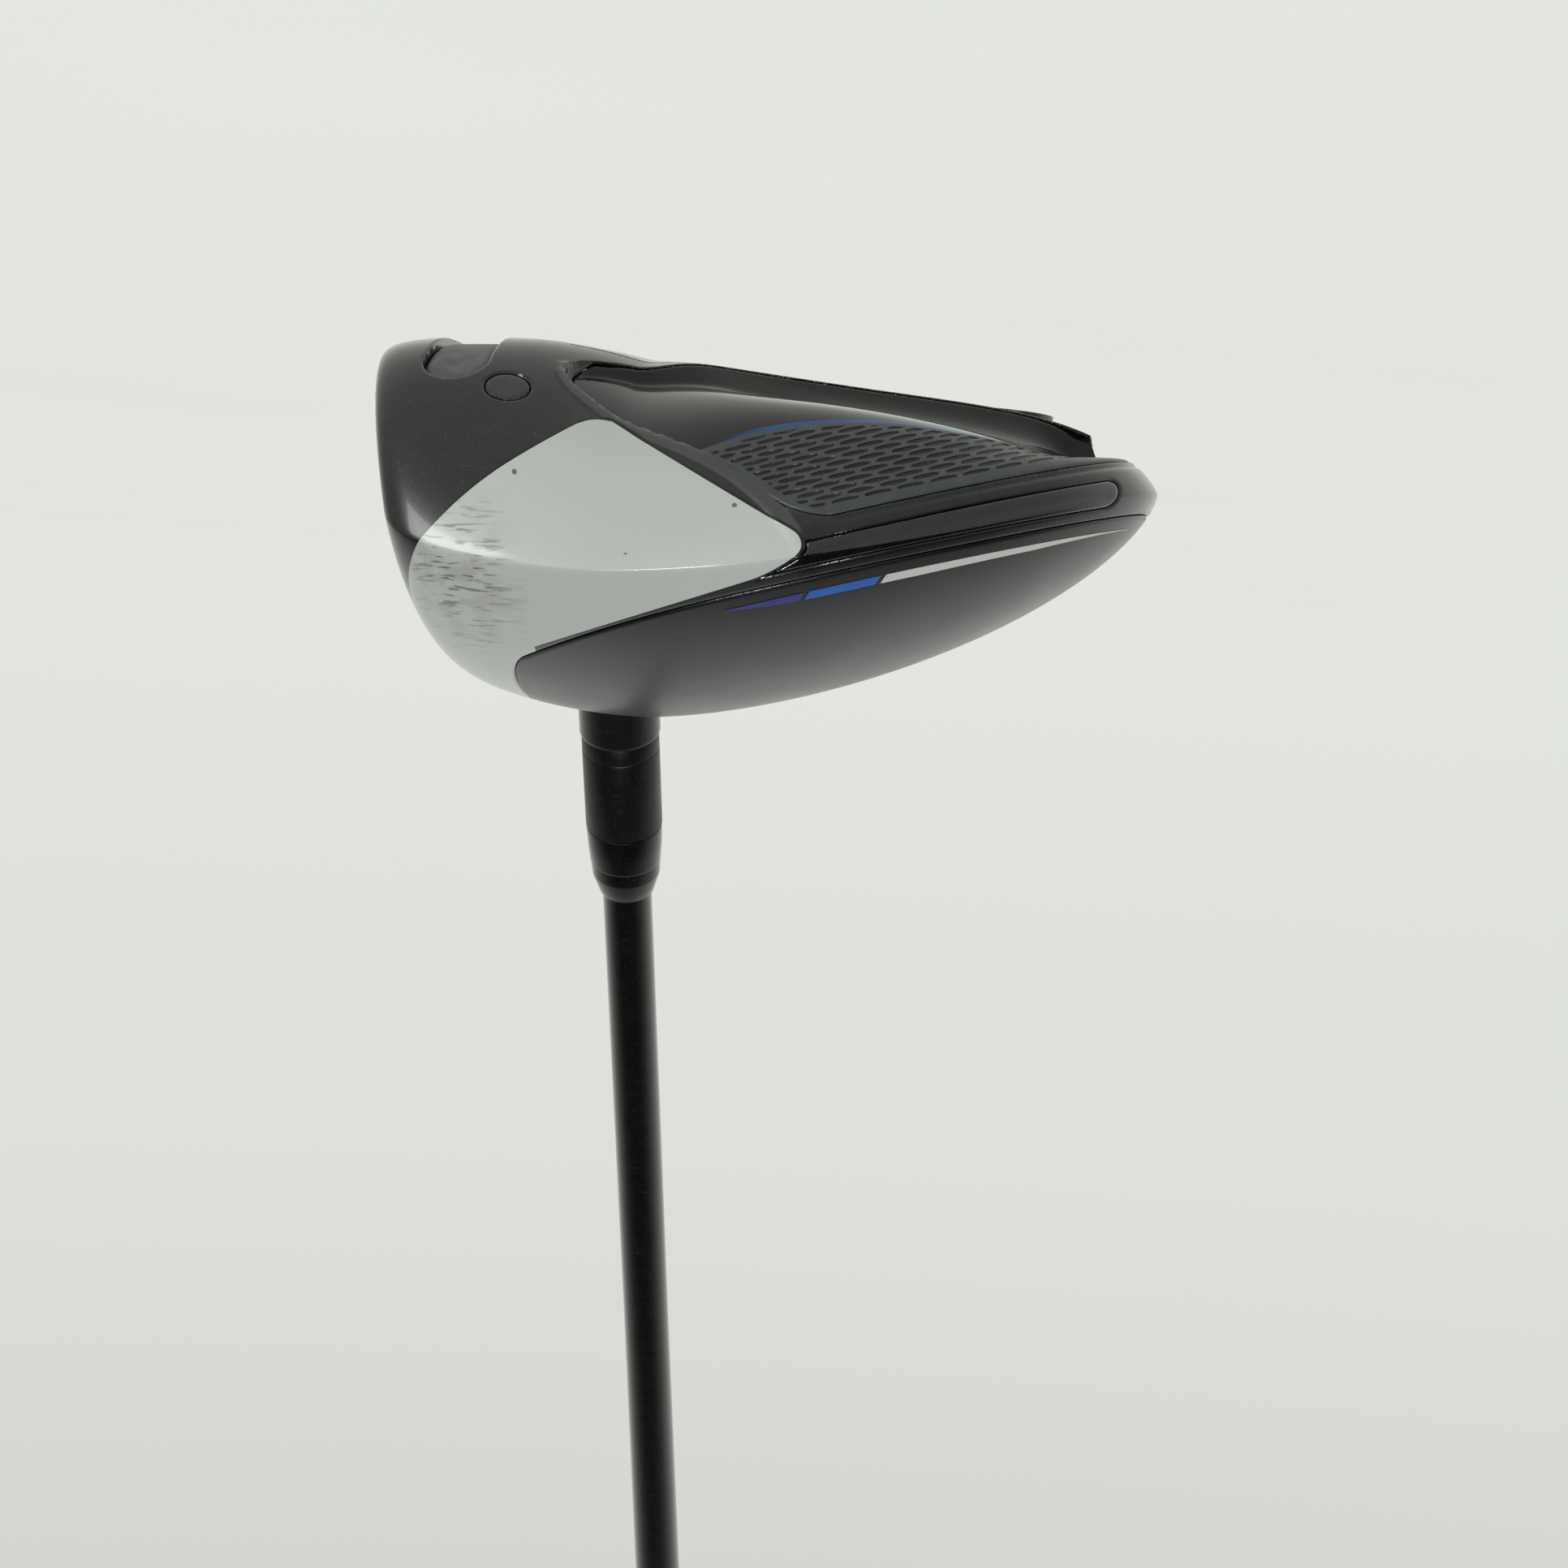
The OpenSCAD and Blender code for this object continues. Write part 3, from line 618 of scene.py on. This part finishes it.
def handled(name, colour, roughness, spread=0.12, marks=0.35, tint=0.35, **more):
    """A surface with uneven sheen, faint cloudiness and a few hairline marks."""
    shade = Shade(name, colour, roughness, **more)
    cloud = shade.noise(0.06, 4)
    rub = shade.scratches()
    rough = shade.band(cloud, 0.3, 0.7, roughness - spread * 0.4, roughness + spread * 0.6)
    shade.set("Roughness", shade.math("ADD", rough, shade.math("MULTIPLY", rub, marks * 0.4)))
    lighter = tuple(min(1.0, c * (1 + tint) + 0.006 * tint) for c in colour[:3]) + (1.0,)
    base = shade.mix(shade.band(shade.noise(0.35, 5, seed=2), 0.35, 0.75), colour, lighter)
    shade.base = shade.mix(shade.math("MULTIPLY", rub, marks), base, srgb(120, 118, 116))
    shade.set("Base Color", shade.base)
    shade.bump(shade.noise(5.0, 2, seed=5), 0.004, 0.4)
    return shade


def body_shade():
    shade = handled("body_lacquer", srgb(33, 35, 36), 0.2, spread=0.08, marks=0.16, tint=0.2,
                    coat=0.3, coat_roughness=0.05)
    paint = shade.attribute("paint")
    dirt = shade.band(shade.noise(0.55, 5, (0.3, 0.42, 3.6), (28, 0, 0), 4), 0.55, 0.64)
    near_tip = shade.band(shade.attribute("scuff"), 12, 2)
    scuffed = shade.math("MULTIPLY", dirt, near_tip)
    smear = shade.math("MULTIPLY", shade.band(shade.noise(0.2, 3, seed=9), 0.42, 0.6), near_tip)
    specks = shade.band(shade.noise(0.45, 0, seed=7), 0.845, 0.855)
    cloud = shade.band(shade.noise(0.05, 2, seed=6), 0.3, 0.7)
    white = shade.mix(cloud, srgb(206, 213, 208), srgb(211, 217, 212))
    white = shade.mix(shade.math("MULTIPLY", smear, 0.35), white, srgb(160, 146, 126))
    white = shade.mix(shade.math("MULTIPLY", scuffed, 0.75), white, srgb(98, 84, 68))
    white = shade.mix(shade.math("MULTIPLY", specks, 0.8), white, srgb(70, 66, 60))
    # The raised edge in front of the recess is coloured a lighter grey: a painted highlight along that edge.
    grey = shade.mix(shade.band(shade.attribute("bead"), 0.95, 0.8), shade.base, srgb(72, 74, 74))
    grey = shade.mix(shade.band(shade.attribute("skirt"), -0.4, 0.4), grey, srgb(22, 25, 26))
    dark = shade.mix(shade.band(paint, -0.42, -0.34), grey, srgb(10, 10, 11))
    shade.set("Base Color", shade.mix(shade.band(paint, -0.03, 0.03), dark, white))
    return shade.material


def panel_shade():
    shade = handled("leaf_composite", srgb(68, 72, 71), 0.38, marks=0.14, tint=0.2,
                    coat=0.25, coat_roughness=0.12)
    smooth = shade.band(shade.attribute("leafy"), -0.2, 0.2)
    shade.set("Specular IOR Level", shade.band(smooth, 0, 1, 0.12, 0.5))
    base = shade.mix(smooth, srgb(5, 6, 8), shade.base)
    base = shade.mix(shade.band(shade.attribute("leaf"), 0.0, 0.06), base, srgb(13, 13, 14))
    along_line = shade.band(shade.attribute("line"), 0.5, 0.38)
    line = shade.math("MULTIPLY", along_line, shade.band(shade.attribute("line_ends"), 0, 8))
    shade.set("Base Color", shade.mix(line, base, srgb(4, 70, 138)))
    shade.set("Roughness", shade.band(smooth, 0, 1, 0.08, 0.42))
    shade.set("Coat Weight", shade.band(smooth, 0, 1, 0.8, 0.15))
    return shade.material


def stripe_shade():
    shade = handled("stripe_ink", srgb(6, 96, 186), 0.3, marks=0.1, tint=0.1, coat=0.4)
    number = shade.attribute("stripe")
    ink = shade.mix(shade.band(number, 0.4, 0.6), srgb(44, 40, 138), shade.base)
    ink = shade.mix(shade.band(number, 1.4, 1.6), ink, srgb(218, 221, 217))
    worn = shade.band(shade.noise(1.6, 4, seed=11), 0.7, 0.76, 0, 0.6)
    shade.set("Base Color", shade.mix(worn, ink, srgb(60, 60, 64)))
    return shade.material


def face_shade():
    shade = Shade("face_brushed", srgb(96, 97, 99), 0.32, metallic=1.0)
    grain = shade.noise(0.7, 5, (0.15, 6, 6), seed=3)
    shade.set("Roughness", shade.band(grain, 0.3, 0.7, 0.26, 0.44))
    wear = shade.band(shade.noise(0.07, 3, seed=5), 0.4, 0.7)
    shade.set("Base Color", shade.mix(wear, srgb(84, 85, 88), srgb(118, 119, 120)))
    shade.bump(grain, 0.01, 0.5)
    return shade.material


def steel_shade(name, colour):
    shade = Shade(name, colour, 0.3, metallic=1.0)
    rings = shade.noise(1.5, 4, (1, 1, 4), seed=2)
    shade.set("Roughness", shade.band(rings, 0.3, 0.7, 0.2, 0.42))
    darker = tuple(c * 0.7 for c in colour[:3]) + (1.0,)
    shade.set("Base Color", shade.mix(shade.band(shade.noise(0.3, 4), 0.4, 0.7), colour, darker))
    shade.bump(rings, 0.006, 0.4)
    return shade.material


def rubber_shade(name, colour, roughness):
    shade = handled(name, colour, roughness, spread=0.1, marks=0.1, tint=0.5)
    shade.bump(shade.noise(4.0, 4, seed=5), 0.02, 0.5)
    return shade.material


INK = {
    "body": body_shade(),
    "panel": panel_shade(),
    "crown": handled("crown_lacquer", srgb(12, 14, 15), 0.3, spread=0.06, marks=0.07, tint=0.2,
                     coat=0.2, coat_roughness=0.16).material,
    "stripe": stripe_shade(),
    "face": face_shade(),
    "inlay": handled("gloss_black", srgb(7, 7, 9), 0.06, spread=0.05, marks=0.1,
                     coat=1.0, coat_roughness=0.02).material,
    "cap": handled("keel_lacquer", srgb(56, 54, 54), 0.16, marks=0.2,
                   coat=0.6, coat_roughness=0.05).material,
    "slot": rubber_shade("slot_polymer", srgb(88, 90, 92), 0.5),
    "plug": handled("plug_lacquer", srgb(46, 48, 49), 0.3, marks=0.25, coat=0.3).material,
    "sleeve": handled("sleeve_anodised", srgb(17, 18, 20), 0.34, marks=0.15, metallic=0.3).material,
    "ferrule": handled("ferrule_polish", srgb(9, 9, 10), 0.14, marks=0.12, coat=0.6).material,
    "shaft": handled("shaft_lacquer", srgb(10, 11, 13), 0.1, spread=0.06, marks=0.12,
                     coat=1.0, coat_roughness=0.03).material,
    "grip": rubber_shade("grip_compound", srgb(26, 26, 27), 0.72),
    "steel": steel_shade("machined_steel", srgb(150, 151, 153)),
    "titanium": steel_shade("cast_titanium", srgb(110, 108, 105)),
    "resin": rubber_shade("hot_melt", srgb(196, 178, 120), 0.35),
    "brass": steel_shade("turned_brass", srgb(186, 150, 84)),
    "tape": rubber_shade("grip_tape_paper", srgb(214, 206, 184), 0.8),
    "nylon": rubber_shade("washer_nylon", srgb(222, 220, 210), 0.45),
}

# ---- Head pieces -----------------------------------------------------------------------------------


def on_axis(along, radius, angle):
    """A point round the shaft axis; angle 0 looks to the toe and the crown."""
    up = np.array([-math.sin(LIE), 0.0, math.cos(LIE)])
    side = np.array([0.0, 1.0, 0.0])
    return (SHAFT_GROUND + SHAFT_DIRECTION * along[..., None]
            + up * (radius * np.cos(angle))[..., None] + side * (radius * np.sin(angle))[..., None])


def revolved(profile, segments=96, swell=None):
    """Points and triangles of a ring-shaped body round the shaft axis from (radius, along) pairs."""
    profile = np.asarray(profile, float)
    n = len(profile)
    angle = 2 * math.pi * np.arange(segments) / segments
    radius = np.repeat(profile[:, :1], segments, axis=1)
    along = np.repeat(profile[:, 1:], segments, axis=1)
    if swell is not None:
        radius = radius + swell(along, angle[None, :])
    points = on_axis(along, radius, np.repeat(angle[None, :], n, axis=0)).reshape(-1, 3)
    i = np.arange(n)[:, None] * segments
    j = np.arange(segments)[None, :]
    nxt = (j + 1) % segments
    a, b = i + j, i + nxt
    c, d = (a + segments) % (n * segments), (b + segments) % (n * segments)
    tris = np.concatenate([np.stack([a, b, d], -1).reshape(-1, 3), np.stack([a, d, c], -1).reshape(-1, 3)])
    return points, tris


def outward(points, tris):
    """The same triangles, turned so that the volume they enclose is positive."""
    a, b, c = points[tris[:, 0]], points[tris[:, 1]], points[tris[:, 2]]
    return tris if np.einsum("ij,ij->", a, np.cross(b, c)) > 0 else tris[:, ::-1]


def make_head():
    sheet = head_sheet()
    points, tris = welded(sheet.points, sheet.tris)
    tris = outward(points, tris)
    normals = vertex_normals(points, tris)
    centre = points[tris].mean(axis=1)
    x, y, z = points.T

    def cover(field, level=GAP / 2):
        return field(centre) > level

    fields = {
        "crown": crown_field, "panel": panel_field, "inlay": inlay_field, "face": face_field,
        "cap": cap_field, "slot": slot_field, "port": port_field, "weight": weight_field,
        "well": well_field
    }
    value = {key: field(points) for key, field in fields.items()}
    nearest = np.max(np.stack(list(value.values())), axis=0)
    away = np.max(np.stack([field(centre) for field in fields.values()]), axis=0)

    def eased_edge(distance, width, depth):
        return depth * (1 - np.clip((distance - GAP / 2) / width, 0, 1)) ** 2

    def patch(name, keep, inward, thick, replaces, material, attributes=None, sharp=38):
        outer = points - normals * inward[:, None]
        inner = outer - normals * thick
        solid, faces, used = closed(outer, inner, tris[keep])
        extra = {key: np.tile(values[used], 2) for key, values in (attributes or {}).items()}
        return make_piece(name, solid, faces, "head", replaces, material, sharp, extra)

    # The body: everything that no other piece covers
    body = away < -GAP / 2
    groove = np.abs(z - groove_height(y)) / math.hypot(1, GROOVE_FALL)
    groove_depth = 0.3 * np.exp(-((groove / 0.4) ** 2)) * smoothstep((y - 45) / 4)
    bead = edge_bead_field(points)
    inward = eased_edge(-nearest, 0.3, 0.22) + groove_depth - 0.3 * smoothstep((1.1 - bead) / 0.7)
    attributes = {
        "paint": paint_field(points),
        "scuff": np.hypot(np.hypot(y + 3, (z - 36) * 0.8), np.maximum(x + 30, 0)),
        "bead": bead,
        "skirt": np.minimum(y - 44, z - groove_height(y)),
    }
    outer = points - normals * inward[:, None]
    solid, faces, used = closed(outer, outer - normals * 1.5, tris[body])
    extra = {key: np.tile(values[used], 2) for key, values in attributes.items()}
    neck_points, neck_tris = neck_mesh()
    well_points, well_tris = revolved([(4.85, 24.9), (4.85, 8.0), (5.9, 8.0), (5.9, 24.9)], 48)
    well_tris = outward(well_points - well_points.mean(axis=0), well_tris)
    start = len(solid)
    solid = np.concatenate([solid, neck_points, well_points])
    faces = np.concatenate([faces, neck_tris + start, well_tris + start + len(neck_points)])
    more = {"paint": -0.38, "scuff": 99.0, "bead": 9.0, "skirt": -9.0}
    for key in extra:
        tail = np.full(len(neck_points) + len(well_points), more[key])
        extra[key] = np.concatenate([extra[key], tail])
    make_piece("head_body_skin", solid, faces, "head", ["head_body"], INK["body"], 38, extra)

    patch("crown_skin", cover(crown_field), eased_edge(value["crown"], 0.3, 0.2), 0.9,
          ["crown_shell"], INK["crown"])
    leaf = leaf_field(points)
    pressed = 0.16 * np.clip(leaf / 0.09, 0, 1)
    edge = np.abs(x) - along_curve(y, LEAF_EDGE)
    panel_marks = {
        "leaf": leaf, "leafy": edge,
        "line": np.abs(edge + 0.2),
        "line_ends": np.minimum(y - 30, 70 - y),
    }
    for side, name in ((-1, "toe_sole_panel"), (1, "heel_sole_panel")):
        keep = cover(panel_field) & (centre[:, 0] * side > 0)
        patch(name + "_skin", keep, eased_edge(value["panel"], 0.3, 0.2) + pressed, 0.9, [name],
              INK["panel"], panel_marks)
    scoop = 0.5 * smoothstep(value["inlay"] / 4.5)
    for side, name in ((-1, "skirt_inlay_toe"), (1, "skirt_inlay_heel")):
        keep = cover(inlay_field) & (centre[:, 0] * side > 0)
        patch(name + "_skin", keep, eased_edge(value["inlay"], 0.3, 0.22) + scoop, 0.6, [name],
              INK["inlay"])
    patch("face_skin", cover(face_field), eased_edge(value["face"], 0.35, 0.25), 2.4,
          ["face_plate"], INK["face"])
    patch("keel_cap_skin", cover(cap_field), eased_edge(value["cap"], 0.3, 0.2), 0.6,
          ["keel_cap"], INK["cap"])
    patch("slot_insert_skin", cover(slot_field), 1.0 + eased_edge(value["slot"], 1.2, 0.5), 1.6,
          ["slot_insert"], INK["slot"])
    patch("port_plug_skin", port_field(centre) > 0.2, 0.04 + eased_edge(value["port"] - 0.2, 0.3, 0.2), 1.4,
          ["port_plug"], INK["plug"])
    stripes = np.max(np.stack([stripe_field(centre, k) for k in range(3)]), axis=0) > 0
    nearest_stripe = np.argmax(np.stack([stripe_field(points, k) for k in range(3)]), axis=0)
    patch("crown_edge_stripes", stripes & cover(crown_field), np.full(len(points), -0.07), 0.05,
          ["crown_edge_decal"], INK["stripe"],
          {"stripe": nearest_stripe.astype(float)})


def neck_mesh():
    """The hosel's neck, which spreads into the crown on the side that faces it."""
    along = np.concatenate([np.linspace(30, 66, 37), np.linspace(67, 70.6, 9), [70.9, 71.0]])
    core = 7.15 + 0.9 * smoothstep((62 - along) / 14) + 1.2 * smoothstep((50 - along) / 14)
    core[-2:] -= [0.12, 0.3]
    profile = [(r, s) for r, s in zip(core, along)]
    profile += [(6.55, 71.0), (6.55, 30.0)]

    def swell(s, angle):
        inside = np.zeros_like(s)
        inside[: len(along)] = 1
        towards = (0.5 + 0.5 * np.cos(angle)) ** 1.5
        return inside * towards * (16 * np.clip((60 - s) / 24, 0, 1.2) ** 2.6)

    points, tris = revolved(profile, 96, swell)
    return points, outward(points - points.mean(axis=0), tris)


make_head()

# ---- Sleeve, ferrule, shaft and grip --------------------------------------------------------------


def turned_piece(name, profile, body, replaces, material, segments=96, swell=None):
    points, tris = revolved(profile, segments, swell)
    return make_piece(name, points, outward(points - points.mean(axis=0), tris), body, replaces,
                      material, 32)


def softened(corners, radius, steps=4):
    """A closed outline with each corner cut round; corners are (radius, along) pairs."""
    corners = np.asarray(corners, float)
    out = []
    for before, here, after in zip(np.roll(corners, 1, axis=0), corners, np.roll(corners, -1, axis=0)):
        r = min(radius, 0.4 * np.linalg.norm(before - here), 0.4 * np.linalg.norm(after - here))
        a = here + (before - here) / np.linalg.norm(before - here) * r
        b = here + (after - here) / np.linalg.norm(after - here) * r
        for t in np.linspace(0, 1, steps):
            out.append((1 - t) ** 2 * a + 2 * t * (1 - t) * here + t * t * b)
    return out


SHAFT_BORE = 4.56
SHAFT_TIP_RADIUS, SHAFT_BUTT_RADIUS, SHAFT_WALL = 4.5, 7.6, 1.0
TAPER_FROM, CLUB_LENGTH = 213, 1156
turned_piece("sleeve_skin", softened([
    (SHAFT_BORE, 53.2), (5.7, 53.2), (5.7, 71.05), (6.88, 71.05), (6.88, 74.2), (6.78, 74.35),
    (6.88, 74.5), (6.88, 90.95), (SHAFT_BORE, 90.95)
], 0.22), "club", ["loft_sleeve"], INK["sleeve"])
turned_piece("ferrule_skin", softened([
    (SHAFT_BORE, 91.1), (6.82, 91.1), (6.72, 95), (6.45, 98.6), (6.3, 98.75), (6.3, 99.1), (6.2, 101.4),
    (5.7, 103.2), (5.0, 105.6), (SHAFT_BORE, 105.6)
], 0.3), "club", ["ferrule"], INK["ferrule"])


def shaft_radius(along):
    widened = np.clip((along - TAPER_FROM) / (CLUB_LENGTH - TAPER_FROM), 0, 1)
    return SHAFT_TIP_RADIUS + (SHAFT_BUTT_RADIUS - SHAFT_TIP_RADIUS) * widened


stations = np.concatenate([[53.1, 110, 160, TAPER_FROM], np.linspace(240, 1150, 40)])
outside = [(shaft_radius(s), s) for s in stations]
inside = [(shaft_radius(s) - SHAFT_WALL, s) for s in (1150, TAPER_FROM, 53.1)]
turned_piece("shaft_skin", outside + inside, "club", ["shaft"], INK["shaft"])


def grip_radius(along):
    return 0.5 * (17.4 + (28 - 17.4) * np.clip((along - 888) / 268, 0, 1) ** 1.25)


def grip_pattern(s, angle):
    """Rows of shallow slanted cuts, with plain rubber at both ends."""
    cut = np.sin(s * 2 * math.pi / 7.5 + 6 * angle) * np.sin(s * 2 * math.pi / 7.5 - 6 * angle)
    where = smoothstep((s - 905) / 8) * smoothstep((1125 - s) / 8) * (s < 1126)
    return -0.45 * where * smoothstep((cut - 0.35) / 0.3)


grip_steps = 280
outer = [(grip_radius(s), s) for s in np.linspace(889.0, 1144, grip_steps)]
cap = [
    (13.8, 1147), (13.8, 1151.8), (13.45, 1153.2), (12.65, 1154.4), (11.1, 1155.0), (1.3, 1155.0),
    (1.3, 1151.1)
]
mouth = [(7.4, 889.0), (7.5, 888.05), (8.45, 888.05), (8.66, 888.4)]
bore_end = [(7.98, 1151.1)]
turned_piece("grip_skin", mouth + outer + cap + bore_end, "club", ["grip"], INK["grip"], 120,
             lambda s, angle: np.where(s > 903, grip_pattern(s, angle), 0) * (s < 1130))

# ---- CAD nodes that keep their shape ---------------------------------------------------------------

KEPT = {
    "port_resin": "resin", "weight_port": "titanium", "rear_weight": "steel", "rear_weight_screw": "steel",
    "hosel_liner": "titanium", "hosel_screw": "steel", "screw_washer": "nylon", "tip_plug": "brass",
    "grip_tape": "tape"
}
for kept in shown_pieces():
    for node, ink in KEPT.items():
        if kept.name == node or kept.name.startswith(node + "."):
            for place in kept.material_slots:
                place.material = INK[ink]

# ---- Stage, light and camera ------------------------------------------------------------------------

FLOOR_RADIUS, FLOOR_Z = 60, -0.45  # metres


def make_floor():
    """A pale paper floor that glows a little, less so on the photographer's side."""
    mesh = bpy.data.meshes.new("floor")
    turn = np.linspace(0, 2 * math.pi, 96, endpoint=False)
    rim = [(FLOOR_RADIUS * math.cos(t), FLOOR_RADIUS * math.sin(t), FLOOR_Z) for t in turn]
    mesh.from_pydata(rim, [], [tuple(range(96))])
    floor = bpy.data.objects.new("floor", mesh)
    bpy.context.scene.collection.objects.link(floor)
    shade = Shade("floor_paper", srgb(180, 182, 177), 0.9)
    grain = shade.noise(0.0005, 3)
    glow = shade.mix(shade.band(grain, 0.3, 0.7), srgb(203, 206, 200), srgb(205, 208, 202))
    shade.set("Specular IOR Level", 0.0)
    shade.set("Emission Color", glow)
    where = shade.tree.nodes.new("ShaderNodeTexCoord")
    parts = shade.tree.nodes.new("ShaderNodeSeparateXYZ")
    shade.tree.links.new(where.outputs["Object"], parts.inputs[0])
    shade.set("Emission Strength", shade.band(parts.outputs["X"], -0.4, 1.6, 0.33, 1.09))
    mesh.materials.append(shade.material)


def make_world():
    """Pale walls, darker behind the photographer."""
    world = bpy.data.worlds.new("studio")
    bpy.context.scene.world = world
    world.use_nodes = True
    tree = world.node_tree
    coordinates = tree.nodes.new("ShaderNodeTexCoord")
    split = tree.nodes.new("ShaderNodeSeparateXYZ")
    tree.links.new(coordinates.outputs["Generated"], split.inputs[0])
    ramp = tree.nodes.new("ShaderNodeValToRGB")
    place = tree.nodes.new("ShaderNodeMapRange")
    place.inputs["From Min"].default_value = -1.0
    place.inputs["From Max"].default_value = 1.0
    tree.links.new(split.outputs["Z"], place.inputs["Value"])
    tree.links.new(place.outputs["Result"], ramp.inputs["Fac"])
    stops = ramp.color_ramp.elements
    stops[0].position, stops[0].color = 0.0, srgb(232, 234, 229)
    stops[1].position, stops[1].color = 1.0, srgb(190, 192, 190)
    middle = ((0.5, srgb(227, 229, 223)), (0.57, srgb(222, 224, 219)), (0.65, srgb(212, 213, 208)))
    for position, colour in middle:
        stop = stops.new(position)
        stop.color = colour
    background = tree.nodes["Background"]
    tree.links.new(ramp.outputs["Color"], background.inputs["Color"])
    dim = tree.nodes.new("ShaderNodeMapRange")
    dim.interpolation_type = "SMOOTHSTEP"
    dim.inputs["From Min"].default_value = -0.3
    dim.inputs["From Max"].default_value = 0.8
    dim.inputs["To Min"].default_value = 0.05
    dim.inputs["To Max"].default_value = 1.0
    tree.links.new(split.outputs["X"], dim.inputs["Value"])
    tree.links.new(dim.outputs["Result"], background.inputs["Strength"])


def area_light(name, spot, aim, size, power):
    light = bpy.data.lights.new(name, "AREA")
    light.shape = "RECTANGLE"
    light.size, light.size_y = size
    light.energy = power
    lamp = bpy.data.objects.new(name, light)
    bpy.context.scene.collection.objects.link(lamp)
    lamp.location = spot
    lamp.rotation_euler = (Vector(aim) - Vector(spot)).to_track_quat("-Z", "Y").to_euler()
    lamp.visible_camera = False


def make_camera():
    """The camera looks from the toe, and the picture's up is -Z: the club is held upside down."""
    forward = Vector((0.99406, -0.09848, 0.04627)).normalized()
    right = Vector((0.10104, 0.99327, -0.05656))
    right = (right - forward * right.dot(forward)).normalized()
    up = right.cross(forward)
    data = bpy.data.cameras.new("camera")
    data.lens = 70.96
    data.sensor_width = 36.0
    data.clip_start = 0.01
    data.clip_end = 200.0
    camera = bpy.data.objects.new("camera", data)
    bpy.context.scene.collection.objects.link(camera)
    turn = Matrix((right, up, -forward)).transposed()
    camera.matrix_world = Matrix.Translation((-0.46984, 0.08500, 0.04260)) @ turn.to_4x4()
    bpy.context.scene.camera = camera


make_floor()
make_world()
area_light("key", (-0.45, -0.35, -0.4), (0, 0.03, 0.02), (0.32, 0.22), 1.6)
area_light("strip", (-0.9, 0.1, 0.75), (0, 0.03, 0.02), (0.35, 0.06), 5.0)
area_light("lamp", (-0.8, 0.42, 0.16), (0, 0.03, 0.03), (0.05, 0.3), 0.9)
make_camera()
bpy.context.scene.view_settings.view_transform = "Standard"
